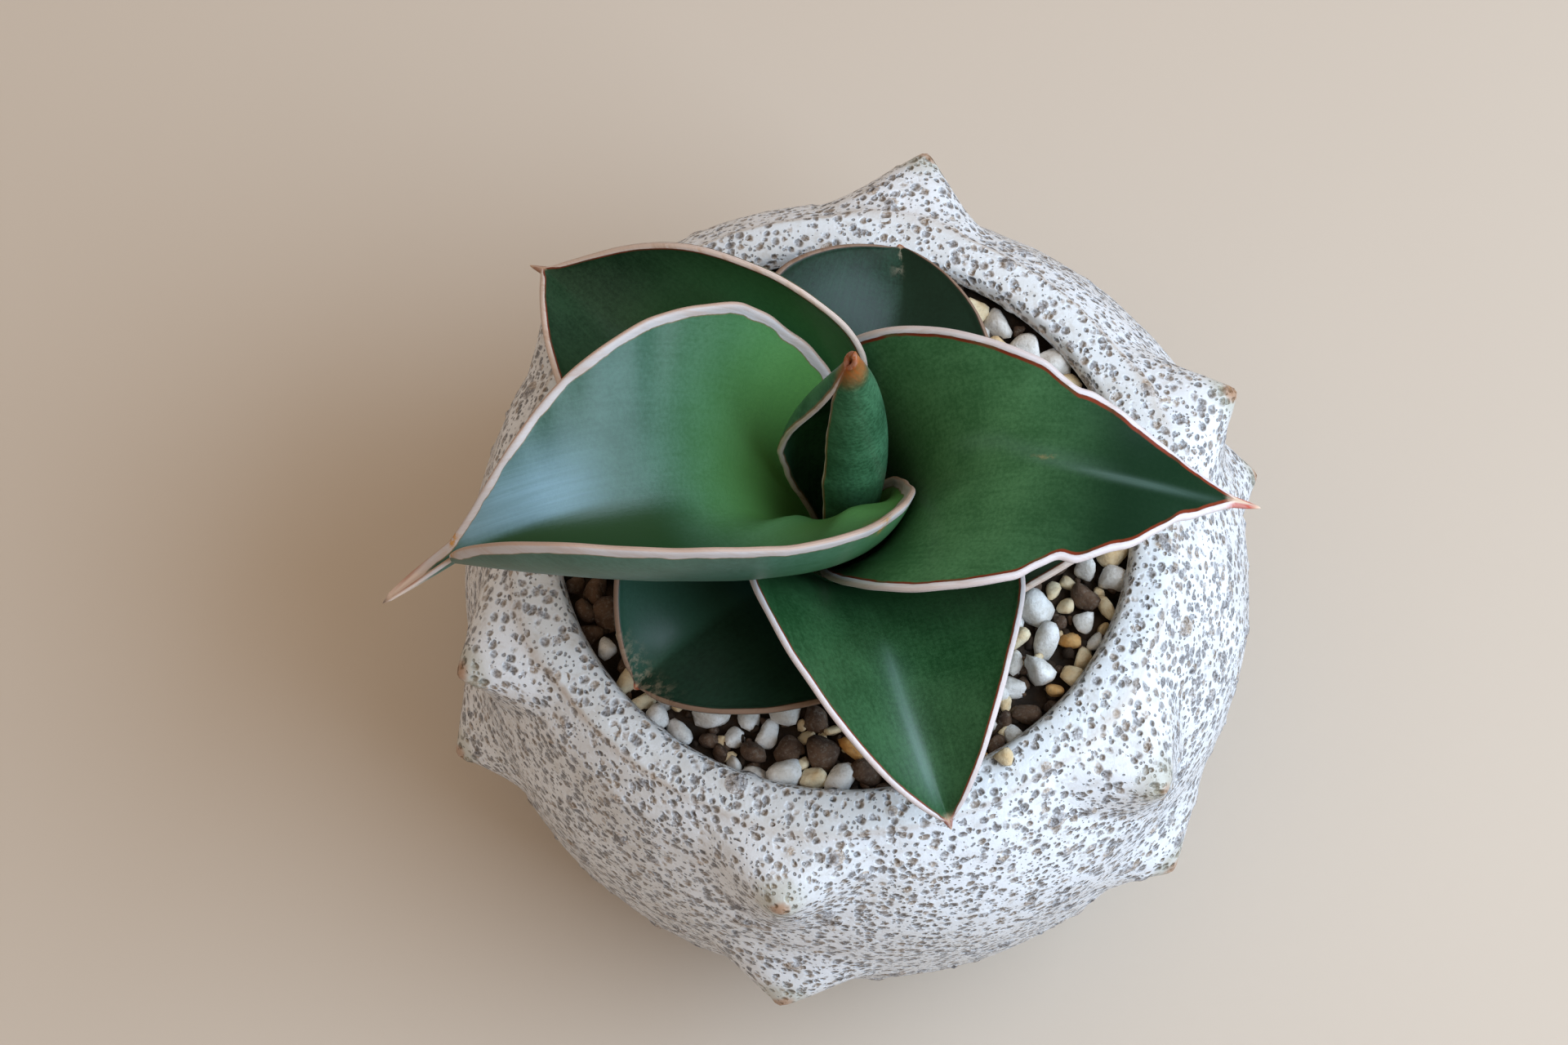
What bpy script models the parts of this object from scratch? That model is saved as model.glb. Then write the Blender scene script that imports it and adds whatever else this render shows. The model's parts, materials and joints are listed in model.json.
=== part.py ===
"""Potted snake plant: a rosette of eight channelled leaves in a stoneware pot with two rings of horns.

Metres, +Z up. The origin is the middle of the pot's foot, on the surface that the pot stands on.
Driving dimensions are in millimetres and degrees.
"""

from math import comb, pi, radians

import bmesh
import bpy
import numpy as np
from mathutils import Matrix, Vector
from mathutils.bvhtree import BVHTree

MM = 0.001

# Pot
RIM_HEIGHT = 80.0
OPENING_RADIUS = 45.0
LIP_TOP_RADIUS = 48.2
LIP_TOP_HEIGHT = 81.0
CREASE_RADIUS = 51.7
FOOT_RADIUS = 38.0
FLOOR_THICKNESS = 7.0
WALL = 8.0
POT_SIDES = 72
# Radius and height of the outer wall from the crease below the lip down to the foot
OUTER_WALL = [
    (CREASE_RADIUS, 80.0),
    (54.6, 77.2),
    (58.0, 73.0),
    (62.6, 62.0),
    (63.8, 50.0),
    (62.6, 35.0),
    (57.5, 20.0),
    (48.0, 8.0),
    (40.5, 2.0),
    (FOOT_RADIUS, 0.0),
]
WALL_ROWS = 22
# The hand-thrown body stands a little to one side of its mouth, all of it below the second height
BODY_SHIFT = 2.6
BODY_SHIFT_HEIGHTS = (RIM_HEIGHT, 62.0)

# Horns, in two rings, one horn above the other at even steps of azimuth
HORNS_PER_RING = 6
FIRST_HORN_AZIMUTH = 20.0
HORN_SPREAD = 5.6
UPPER_HORN_FOOT = 74.5
UPPER_HORN_TIP = 76.4
LOWER_HORN_FOOT = 42.0
LOWER_HORN_TIP = 42.0
# Azimuth and radius of each tip, which lean from horn to horn as drawn out by hand
UPPER_HORNS = [(20, 67), (78, 67), (137, 63.5), (203, 65), (261, 64), (318, 66)]
LOWER_HORNS = [(18, 74), (80, 69.5), (140, 68), (203, 68.5), (262, 69.5), (319, 71)]

# Drain holes
DRAIN_COUNT = 3
DRAIN_RADIUS = 4.5
DRAIN_CIRCLE = 20.0

# Potting mix
MIX_HEIGHT = 75.0
MIX_GAP = 0.4
MIX_SIDES = 36
PIT_RADIUS = 18.4
PIT_MOUTH_RADIUS = 21.5
GRAIN_COUNT = 120
GRAIN_RADII = (1.8, 3.0)
GRAIN_CLEARANCE = 0.5
GRAIN_SEED = 11

# Crown, the short stem below the leaves
CROWN_RADIUS = 18.0
CROWN_THICKNESS = 9.0
CROWN_TOP_HEIGHT = 71.35

# Leaves. Angles turn anticlockwise seen from above, and left is the left side seen from the crown.
LEAF_BASE_HEIGHT = 72.0
MARGIN_HALF_THICKNESS = 0.42
BASE_HALF_THICKNESS = 0.52
RIB_HALF_THICKNESS = 0.9
FOLD_WIDTH = 0.12
# The section is flat at the very tip and has its full angles from this half width on
FULL_SECTION_WIDTH = 3.0
# Shares of the blade's length where the flesh is full and where it ends, and of its half width
FLESH_PEAK = 0.29
FLESH_END = 0.56
FLESH_FULL = (0.3, 0.75)

# root: distance from the pot's axis and azimuth. azimuth, elevation and roll: the blade's direction and
# its twist, from root to tip. left and right: half widths from root to tip. fold: the angle at the midrib
# and curl: the angle the half turns through from midrib to margin. ruffle: height and number of the
# waves in the margins. pinch: where along the blade it narrows, and by how much.
# flesh: how much thicker the left and right halves are where they close on the younger leaf inside them.
# tip_half_width: where the blade passes into its spine. spine: its length, azimuth and elevation.
LEAVES = {
    "leaf_centre": dict(
        root=(3.5, 48), length=63.5, rows=18, side_columns=5,
        azimuth=(45, 41, 34), elevation=(84, 74, 104, 105), roll=(-2, -10, -2),
        left=(8.5, 14.5, 29.5, 14), right=(9, 21.5, 13.5, 15.5),
        fold_left=(0, -3, 23), fold_right=(0, 1, 24),
        curl_left=(150, 104, 165), curl_right=(151, 153, 153),
        ruffle=(0.15, 5), pinch=(0.5, 0.0), flesh=(0.0, 0.0),
        tip_half_width=0.6, spine=(1.0, 34, 80),
    ),
    "leaf_left": dict(
        root=(5.5, -155), length=76.5, rows=22, side_columns=5,
        azimuth=(187, 211, 196), elevation=(66, 66, 31, -20), roll=(26, -39, -6),
        left=(22, 39, 36.5, 43.5), right=(15, 29, 48.5, 14),
        fold_left=(0, 19, 23), fold_right=(0, 8, 4),
        curl_left=(190, 41, 129), curl_right=(151, 1, -6),
        ruffle=(0.4, 5), pinch=(0.5, 0.0), flesh=(5.8, 0.0),
        tip_half_width=1.5, spine=(13.7, 203, -31),
    ),
    "leaf_right": dict(
        root=(7.5, -6), length=76, rows=20, side_columns=4,
        azimuth=(13, -14, -13), elevation=(78, 98, -23, -26), roll=(-15, 27, -27),
        left=(9.5, 50, 10.5, 6), right=(16, 19, 46, 13),
        fold_left=(0, 5, -3), fold_right=(0, 16, -3),
        curl_left=(79, 48, -8), curl_right=(123, 2, -8),
        ruffle=(0.2, 4), pinch=(0.63, 0.05), flesh=(0.0, 1.4),
        tip_half_width=1.1, spine=(4.3, -10, -8),
    ),
    "leaf_back_left": dict(
        root=(9.5, 152), length=59.5, rows=17, side_columns=4,
        azimuth=(162, 140, 134), elevation=(51, 77, -2, -5), roll=(-9, 2, 6),
        left=(11.5, 24, 28, 18.5), right=(9.5, 25.5, 54, 18),
        fold_left=(0, 1, 30), fold_right=(0, 0, 29),
        curl_left=(70, 1, 21), curl_right=(67, 122, 43),
        ruffle=(0.15, 3), pinch=(0.5, 0.0), flesh=(0.0, 0.0),
        tip_half_width=0.8, spine=(3.0, 150, -20),
    ),
    "leaf_front": dict(
        root=(10, -73), length=57.5, rows=17, side_columns=4,
        azimuth=(-72, -87, -64), elevation=(77, 38, 11, -47), roll=(-1, -23, 4),
        left=(12, 34.5, 17.5, 18), right=(7.5, 32, 26.5, 14),
        fold_left=(0, -3, 37), fold_right=(0, 10, 35),
        curl_left=(69, -6, 25), curl_right=(65, 4, 16),
        ruffle=(0.1, 3), pinch=(0.5, 0.0), flesh=(0.0, 0.0),
        tip_half_width=0.8, spine=(2.0, -65, -45),
    ),
    "leaf_back": dict(
        root=(12, 77), length=38.5, rows=13, side_columns=4,
        azimuth=(66, 69, 96), elevation=(70, 30, -2, -8), roll=(0, 5, 7),
        left=(11.5, 23, 29.5, 32), right=(8.5, 23.5, 21.5, 13),
        fold_left=(0, 9, 35), fold_right=(0, 1, 25),
        curl_left=(56, 14, 24), curl_right=(40, -3, 10),
        ruffle=(0.1, 2), pinch=(0.5, 0.0), flesh=(0.0, 0.0),
        tip_half_width=1.0, spine=(1.2, 95, -15),
    ),
    "leaf_front_left": dict(
        root=(14.5, -138), length=34, rows=12, side_columns=4,
        azimuth=(228, 228, 215), elevation=(61, 40, 11, -33), roll=(-2, 1, -4),
        left=(13, 29.5, 28, 25.5), right=(12, 22.5, 25, 24.5),
        fold_left=(0, 5, 33), fold_right=(0, 3, 39),
        curl_left=(52, -5, 23), curl_right=(48, -1, 35),
        ruffle=(0.1, 2), pinch=(0.5, 0.0), flesh=(0.0, 0.0),
        tip_half_width=1.0, spine=(1.2, 216, -35),
    ),
    "leaf_right_low": dict(
        root=(15.5, -8), length=31.5, rows=11, side_columns=4,
        azimuth=(-7, -7, -5), elevation=(61, 39, 5, -11), roll=(0, 0, -4),
        left=(6.5, 16, 18, 11), right=(12.5, 21, 21, 8.5),
        fold_left=(0, 7, 21), fold_right=(0, 8, 26),
        curl_left=(24, 0, 3), curl_right=(46, 1, 25),
        ruffle=(0.1, 2), pinch=(0.5, 0.0), flesh=(0.0, 0.0),
        tip_half_width=0.8, spine=(1.5, -5, -20),
    ),
}
SPINE_ROWS = 3

# Colours as linear red, green and blue
GLAZE_COLOUR = (0.62, 0.64, 0.66)
MIX_COLOUR = (0.10, 0.06, 0.04)
CROWN_COLOUR = (0.45, 0.38, 0.22)
LEAF_COLOUR = (0.02, 0.09, 0.03)


def clear_scene():
    for scene_object in list(bpy.data.objects):
        bpy.data.objects.remove(scene_object, do_unlink=True)


def new_collection(name):
    collection = bpy.data.collections.new(name)
    bpy.context.scene.collection.children.link(collection)
    return collection


def new_material(name, colour, roughness, metallic=0.0):
    material = bpy.data.materials.new(name)
    material.use_nodes = True
    shader = material.node_tree.nodes["Principled BSDF"]
    shader.inputs["Base Color"].default_value = (*colour, 1.0)
    shader.inputs["Roughness"].default_value = roughness
    shader.inputs["Metallic"].default_value = metallic
    return material


def new_object(name, mesh, collection, material=None):
    made = bpy.data.objects.new(name, mesh)
    collection.objects.link(made)
    if material:
        mesh.materials.append(material)
    return made


def apply_modifiers(target):
    """Replace the object's mesh with the one that its modifiers make."""
    graph = bpy.context.evaluated_depsgraph_get()
    made = bpy.data.meshes.new_from_object(target.evaluated_get(graph))
    target.modifiers.clear()
    target.data = made


def as_cutter(target):
    target.hide_render = True
    target.display_type = "WIRE"


def turned(name, profile, sides, collection, material=None):
    """A profile of radius and height in millimetres, turned round the pot's axis by a Screw modifier.

    The profile starts and ends on the axis and runs down its outer side.
    """
    points = [(radius * MM, 0.0, height * MM) for radius, height in profile]
    edges = [(index, index + 1) for index in range(len(points) - 1)]
    mesh = bpy.data.meshes.new(name)
    mesh.from_pydata(points, edges, [])
    made = new_object(name, mesh, collection, material)
    screw = made.modifiers.new("turn", "SCREW")
    screw.steps = sides
    screw.render_steps = sides
    screw.use_merge_vertices = True
    screw.merge_threshold = 0.00001
    return made


def smooth_curve(points, count):
    """The Catmull-Rom curve through the points, as count points at equal steps of chord length."""
    points = np.array(points, dtype=float)
    ends = (2 * points[0] - points[1], 2 * points[-1] - points[-2])
    padded = np.vstack([ends[0], points, ends[1]])
    fine = []
    for index in range(len(points) - 1):
        p0, p1, p2, p3 = padded[index:index + 4]
        t = np.linspace(0.0, 1.0, 24, endpoint=False)[:, None]
        fine.append(
            0.5 * (2 * p1 + (p2 - p0) * t + (2 * p0 - 5 * p1 + 4 * p2 - p3) * t**2
                   + (3 * p1 - p0 - 3 * p2 + p3) * t**3)
        )
    fine = np.vstack(fine + [points[-1:]])
    chord = np.concatenate([[0.0], np.cumsum(np.linalg.norm(np.diff(fine, axis=0), axis=1))])
    wanted = np.linspace(0.0, chord[-1], count)
    return np.column_stack([np.interp(wanted, chord, fine[:, axis]) for axis in range(2)])


def wall_radius(height):
    """Radius of the outer wall at a height."""
    curve = smooth_curve(OUTER_WALL, 200)[::-1]
    return float(np.interp(height, curve[:, 1], curve[:, 0]))


def inner_wall():
    """Radius and height of the inside of the pot, from the middle of its floor up to the opening."""
    return [
        (0.0, FLOOR_THICKNESS),
        (FOOT_RADIUS - 4.0, FLOOR_THICKNESS),
        (wall_radius(16.0) - WALL - 1.5, 13.0),
        (wall_radius(24.0) - WALL, 22.0),
        (wall_radius(38.0) - WALL, 36.0),
        (wall_radius(52.0) - WALL, 52.0),
        (wall_radius(64.0) - WALL, 64.0),
        (OPENING_RADIUS + 3.0, 73.0),
        (OPENING_RADIUS, 78.0),
        (OPENING_RADIUS, RIM_HEIGHT),
    ]


def around_axis(azimuth, radius, height):
    """Point at an azimuth in degrees, a radius and a height."""
    return np.array([radius * np.cos(radians(azimuth)), radius * np.sin(radians(azimuth)), height])


def horn_feet_and_tips():
    """Foot and tip of every horn, in millimetres."""
    feet = []
    tips = []
    rings = (
        (UPPER_HORN_FOOT, UPPER_HORN_TIP, UPPER_HORNS),
        (LOWER_HORN_FOOT, LOWER_HORN_TIP, LOWER_HORNS),
    )
    for foot_height, tip_height, horns in rings:
        for index, (tip_azimuth, tip_radius) in enumerate(horns):
            foot_azimuth = FIRST_HORN_AZIMUTH + 360.0 / HORNS_PER_RING * index
            feet.append(around_axis(foot_azimuth, wall_radius(foot_height), foot_height))
            tips.append(around_axis(tip_azimuth, tip_radius, tip_height))
    return shifted(np.array(feet)), np.array(tips)


def shifted(points):
    """Wall points moved sideways with the body: not at the rim, and fully below the shoulder."""
    share = smoothstep(BODY_SHIFT_HEIGHTS[0], BODY_SHIFT_HEIGHTS[1], points[:, 2])
    return points + share[:, None] * [BODY_SHIFT, 0.0, 0.0]


def horned(points):
    """Wall points moved out into horns, each a bell curve of the distance to the horn's foot."""
    feet, tips = horn_feet_and_tips()
    distance = np.linalg.norm(points[:, None, :] - feet[None], axis=2)
    bell = np.exp(-(distance / HORN_SPREAD) ** 2)
    return points + np.einsum("ph,hk->pk", bell, tips - feet)


def make_pot(collection, cutters):
    inside = inner_wall()
    lip = [(OPENING_RADIUS + 1.0, RIM_HEIGHT + 0.8), (LIP_TOP_RADIUS, LIP_TOP_HEIGHT)]
    outside = smooth_curve(OUTER_WALL, WALL_ROWS)
    profile = inside + lip + [tuple(point) for point in outside] + [(0.0, 0.0)]
    material = new_material("speckled_glaze", GLAZE_COLOUR, 0.3)
    pot = turned("pot", profile, POT_SIDES, collection, material)
    apply_modifiers(pot)
    positions = np.empty(len(pot.data.vertices) * 3)
    pot.data.vertices.foreach_get("co", positions)
    points = positions.reshape(-1, 3) / MM
    radius = np.hypot(points[:, 0], points[:, 1])
    height = points[:, 2]
    on_wall = (radius > FOOT_RADIUS - 0.5) & (height < RIM_HEIGHT + 0.01)
    outer_radius = np.interp(height, outside[::-1, 1], outside[::-1, 0])
    on_wall &= radius > outer_radius - 0.5 * WALL
    points[on_wall] = horned(shifted(gathered_at_horns(points[on_wall])))
    pot.data.vertices.foreach_set("co", (points * MM).ravel())
    pot.data.update()
    drains = [make_drain(index, cutters) for index in range(DRAIN_COUNT)]
    for drain in drains:
        cut = pot.modifiers.new("drain", "BOOLEAN")
        cut.operation = "DIFFERENCE"
        cut.solver = "EXACT"
        cut.object = drain
    pot.data.shade_smooth()
    return pot


def gathered_at_horns(points):
    """Turn the points about the axis so that the columns stand closer together at the horns."""
    pitch = 360.0 / HORNS_PER_RING
    azimuth = np.degrees(np.arctan2(points[:, 1], points[:, 0])) - FIRST_HORN_AZIMUTH
    nearest = np.round(azimuth / pitch)
    offset = azimuth / pitch - nearest
    offset = offset * (0.5 + 2.0 * offset**2)
    turned_to = np.radians((nearest + offset) * pitch + FIRST_HORN_AZIMUTH)
    radius = np.hypot(points[:, 0], points[:, 1])
    return np.column_stack([radius * np.cos(turned_to), radius * np.sin(turned_to), points[:, 2]])


def make_drain(index, cutters):
    azimuth = 2 * pi * (index + 0.5) / DRAIN_COUNT
    bpy.ops.mesh.primitive_cylinder_add(
        vertices=12,
        radius=DRAIN_RADIUS * MM,
        depth=3 * FLOOR_THICKNESS * MM,
        location=(DRAIN_CIRCLE * MM * np.cos(azimuth), DRAIN_CIRCLE * MM * np.sin(azimuth), 0.0),
    )
    drain = bpy.context.active_object
    drain.name = f"drain_cutter_{index}"
    drain.users_collection[0].objects.unlink(drain)
    cutters.objects.link(drain)
    as_cutter(drain)
    return drain


def bezier(values, t):
    """Value at t, from 0 to 1, of the Bezier curve with these control values."""
    degree = len(values) - 1
    return sum(
        comb(degree, index) * value * t**index * (1 - t) ** (degree - index)
        for index, value in enumerate(values)
    )


def running_sum(values, step):
    """Trapezoid sum of the rows of values, from zero at the first row."""
    means = (values[1:] + values[:-1]) / 2 * step
    return np.concatenate([np.zeros_like(values[:1]), np.cumsum(means, axis=0)])


def smoothstep(low, high, value):
    share = np.clip((value - low) / (high - low), 0.0, 1.0)
    return share * share * (3 - 2 * share)


def midrib(leaf, t):
    """Points of the midrib, and the unit directions across the blade and up from it, for each t."""
    azimuth = np.radians(bezier(leaf["azimuth"], t))
    elevation = np.radians(bezier(leaf["elevation"], t))
    roll = np.radians(bezier(leaf["roll"], t))[:, None]
    along = np.column_stack([
        np.cos(azimuth) * np.cos(elevation),
        np.sin(azimuth) * np.cos(elevation),
        np.sin(elevation),
    ])
    root_radius, root_azimuth = leaf["root"]
    root = np.array([
        root_radius * np.cos(radians(root_azimuth)),
        root_radius * np.sin(radians(root_azimuth)),
        LEAF_BASE_HEIGHT,
    ])
    points = root + running_sum(along, leaf["length"] / (len(t) - 1))
    side = np.column_stack([-np.sin(azimuth), np.cos(azimuth), np.zeros_like(t)])
    above = np.cross(along, side)
    across = side * np.cos(roll) + above * np.sin(roll)
    up = above * np.cos(roll) - side * np.sin(roll)
    return points, across, up


def half_section(leaf, side, t, v):
    """Distance across and height of one half of the blade, for each t along it and v out to the margin.

    The section's slope angle is the fold, reached within a short way of the midrib, plus the curl times v,
    and fades at the tip.
    """
    width = bezier((*leaf[side], leaf["tip_half_width"]), t)
    place, depth = leaf["pinch"]
    width = width * (1 - depth * np.exp(-((t - place) / 0.035) ** 2))
    fold = np.radians(bezier(leaf["fold_" + side], t))
    curl = np.radians(bezier(leaf["curl_" + side], t))
    slope = fold * (1 - np.exp(-v / FOLD_WIDTH))[:, None] + curl * v[:, None]
    slope = slope * smoothstep(0.0, FULL_SECTION_WIDTH, width)
    step = v[1] - v[0]
    across = running_sum(np.cos(slope), step) * width
    height = running_sum(np.sin(slope), step) * width
    waves, count = leaf["ruffle"]
    ends = np.sin(pi * t) ** 0.5
    height = height + waves * ends * np.sin(2 * pi * count * t) * v[:, None] ** 3
    return across.T, height.T


def inner_flesh(height, t, v):
    """Extra thickness of one half of the blade, for each t along it and v out to the margin."""
    along = smoothstep(0.0, FLESH_PEAK, t) * (1 - smoothstep(FLESH_PEAK, FLESH_END, t))
    across = smoothstep(0.0, FLESH_FULL[0], v) * (1 - smoothstep(FLESH_FULL[1], 1.0, v))
    return height * along[:, None] * across


def blade(leaf, rows, side_columns):
    """Middle surface of the blade as a grid, its half thickness, and the flesh on its upper face."""
    t = np.linspace(0.0, 1.0, rows)
    fine_v = np.linspace(0.0, 1.0, 8 * side_columns + 1)
    points, across, up = midrib(leaf, t)
    halves = []
    for side, sign in (("left", 1.0), ("right", -1.0)):
        x, y = half_section(leaf, side, t, fine_v)
        x = x[:, ::8]
        y = y[:, ::8]
        halves.append(
            points[:, None] + sign * across[:, None] * x[:, :, None] + up[:, None] * y[:, :, None]
        )
    grid = np.concatenate([halves[0][:, :0:-1], halves[1]], axis=1)
    v = np.abs(np.linspace(-1.0, 1.0, 2 * side_columns + 1))
    swell = smoothstep(0.12, 0.45, t) * (1 - smoothstep(0.8, 1.0, t))
    rib = BASE_HALF_THICKNESS + (RIB_HALF_THICKNESS - BASE_HALF_THICKNESS) * swell
    thickness = MARGIN_HALF_THICKNESS + (rib[:, None] - MARGIN_HALF_THICKNESS) * (1 - v[None] ** 2)
    left = inner_flesh(leaf["flesh"][0], t, v[:side_columns])
    right = inner_flesh(leaf["flesh"][1], t, v[side_columns:])
    return grid, thickness, np.hstack([left, right])


def with_spine(leaf, grid, thickness):
    """The grid with rows added beyond the blade that narrow to the point of the leaf."""
    length, azimuth, elevation = leaf["spine"]
    azimuth = radians(azimuth)
    elevation = radians(elevation)
    along = np.array([
        np.cos(azimuth) * np.cos(elevation),
        np.sin(azimuth) * np.cos(elevation),
        np.sin(elevation),
    ])
    last = grid[-1]
    middle = last[len(last) // 2]
    rows = []
    thicknesses = []
    for index in range(1, SPINE_ROWS):
        share = index / SPINE_ROWS
        rows.append(middle + (last - middle) * (1 - share) + along * length * share)
        thicknesses.append(thickness[-1] * (1 - 0.7 * share))
    grid = np.concatenate([grid, rows])
    thickness = np.concatenate([thickness, thicknesses])
    return grid, thickness, middle + along * length


def grid_normals(grid):
    """Unit normals of a grid of points, from the differences between neighbours."""
    rows = np.gradient(grid, axis=0)
    columns = np.gradient(grid, axis=1)
    normals = np.cross(rows, columns)
    return -normals / np.linalg.norm(normals, axis=2, keepdims=True)


def blade_faces(rows, columns):
    """Triangles of the closed blade, split alike on its upper and lower faces.

    Points are numbered row by row, first the upper face, then the lower face, then the tip.
    """
    lower = rows * columns
    tip = 2 * lower
    faces = []
    for row in range(rows - 1):
        for column in range(columns - 1):
            a = row * columns + column
            b = a + columns
            faces.append((a, b + 1, b))
            faces.append((a, a + 1, b + 1))
            faces.append((lower + a, lower + b, lower + b + 1))
            faces.append((lower + a, lower + b + 1, lower + a + 1))
        start = row * columns
        end = start + columns - 1
        faces.append((start, lower + start + columns, lower + start))
        faces.append((start, start + columns, lower + start + columns))
        faces.append((end, lower + end, lower + end + columns))
        faces.append((end, lower + end + columns, end + columns))
    for column in range(columns - 1):
        faces.append((column, lower + column + 1, column + 1))
        faces.append((column, lower + column, lower + column + 1))
        a = (rows - 1) * columns + column
        faces.append((a, a + 1, tip))
        faces.append((lower + a, tip, lower + a + 1))
    first = (rows - 1) * columns
    last = first + columns - 1
    faces.append((first, tip, lower + first))
    faces.append((last, lower + last, tip))
    return faces


def make_leaf(name, leaf, collection, material):
    grid, thickness, flesh = blade(leaf, leaf["rows"], leaf["side_columns"])
    grid, thickness, tip = with_spine(leaf, grid, thickness)
    flesh = np.pad(flesh, ((0, SPINE_ROWS - 1), (0, 0)))
    normals = grid_normals(grid)
    rows, columns = thickness.shape
    points = np.concatenate([
        (grid + normals * (thickness + flesh)[:, :, None]).reshape(-1, 3),
        (grid - normals * thickness[:, :, None]).reshape(-1, 3),
        tip[None],
    ])
    mesh = bpy.data.meshes.new(name)
    mesh.from_pydata((points * MM).tolist(), [], blade_faces(rows, columns))
    mesh.shade_smooth()
    return new_object(name, mesh, collection, material)


def make_crown(collection):
    top = CROWN_TOP_HEIGHT
    profile = [
        (0.0, top),
        (CROWN_RADIUS, top),
        (CROWN_RADIUS, top - 0.6 * CROWN_THICKNESS),
        (0.7 * CROWN_RADIUS, top - CROWN_THICKNESS),
        (0.0, top - CROWN_THICKNESS),
    ]
    crown = turned("crown", profile, 30, collection, new_material("stem", CROWN_COLOUR, 0.7))
    apply_modifiers(crown)
    return crown


def mix_profile():
    """Radius and height of the mix: down from the pit's middle, over the surface and down the wall."""
    pit_floor = CROWN_TOP_HEIGHT - CROWN_THICKNESS - MIX_GAP
    wall = [(radius - MIX_GAP, height) for radius, height in inner_wall()[2:-2]]
    wall_radii, wall_heights = np.array(inner_wall()).T
    top = (float(np.interp(MIX_HEIGHT, wall_heights, wall_radii)) - MIX_GAP, MIX_HEIGHT)
    floor = FLOOR_THICKNESS + MIX_GAP
    return [
        (0.0, pit_floor),
        (PIT_RADIUS, pit_floor),
        (PIT_RADIUS, CROWN_TOP_HEIGHT - 1.0),
        (PIT_MOUTH_RADIUS, MIX_HEIGHT),
        top,
        *reversed(wall),
        (FOOT_RADIUS - 4.5, floor),
        (0.0, floor),
    ]


def leaf_tree(leaves):
    """Search tree over the faces of all the leaves."""
    joined = bmesh.new()
    for leaf in leaves:
        joined.from_mesh(leaf.data)
    tree = BVHTree.FromBMesh(joined)
    joined.free()
    return tree


def grain_places(tree):
    """Centre and radius of each grain: spread evenly by angle, then kept where it clears the leaves."""
    random = np.random.default_rng(GRAIN_SEED)
    golden = pi * (3 - 5**0.5)
    low, high = GRAIN_RADII
    places = []
    for index in range(GRAIN_COUNT):
        share = (index + 0.5) / GRAIN_COUNT
        size = random.uniform(low, high)
        outermost = OPENING_RADIUS - size - 0.6
        distance = (PIT_MOUTH_RADIUS**2 + share * (outermost**2 - PIT_MOUTH_RADIUS**2)) ** 0.5
        angle = index * golden + random.uniform(-0.1, 0.1)
        sink = random.uniform(0.1, 0.6) * size
        centre = Vector((distance * np.cos(angle), distance * np.sin(angle), MIX_HEIGHT - sink)) * MM
        nearest = tree.find_nearest(centre)
        if nearest[3] > (size + GRAIN_CLEARANCE) * MM:
            places.append((centre, size, random.uniform(0, 2 * pi)))
    return places


def add_grain(target, centre, size, angle):
    """An angular grain: a coarse ball, stretched, turned and set at its place."""
    grain = bmesh.ops.create_icosphere(target, subdivisions=1, radius=size * MM)
    stretch = Matrix.Diagonal((1.0, 0.78, 0.7, 1.0))
    turn = Matrix.Rotation(angle, 4, "Z") @ Matrix.Rotation(0.4 * angle, 4, "X")
    bmesh.ops.transform(target, matrix=Matrix.Translation(centre) @ turn @ stretch, verts=grain["verts"])


def make_mix(collection, grains, leaves):
    material = new_material("potting_mix", MIX_COLOUR, 0.95)
    mix = turned("potting_mix", mix_profile(), MIX_SIDES, collection, material)
    apply_modifiers(mix)
    for index, (centre, size, angle) in enumerate(grain_places(leaf_tree(leaves))):
        shape = bmesh.new()
        add_grain(shape, centre, size, angle)
        mesh = bpy.data.meshes.new(f"grain_{index}")
        shape.to_mesh(mesh)
        shape.free()
        new_object(mesh.name, mesh, grains)
    union = mix.modifiers.new("grains", "BOOLEAN")
    union.operation = "UNION"
    union.solver = "MANIFOLD"
    union.operand_type = "COLLECTION"
    union.collection = grains
    apply_modifiers(mix)
    for grain in list(grains.objects):
        bpy.data.objects.remove(grain, do_unlink=True)
    bpy.data.collections.remove(grains)
    return mix


def build():
    clear_scene()
    parts = new_collection("potted_snake_plant")
    cutters = new_collection("cutters")
    make_pot(parts, cutters)
    make_crown(parts)
    leaf_material = new_material("leaf", LEAF_COLOUR, 0.35)
    leaves = [make_leaf(name, leaf, parts, leaf_material) for name, leaf in LEAVES.items()]
    make_mix(parts, new_collection("grains"), leaves)


build()
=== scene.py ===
import json
from itertools import product
from math import comb, pi, radians

import bpy
import numpy as np
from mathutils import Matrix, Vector
from mathutils.bvhtree import BVHTree

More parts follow.
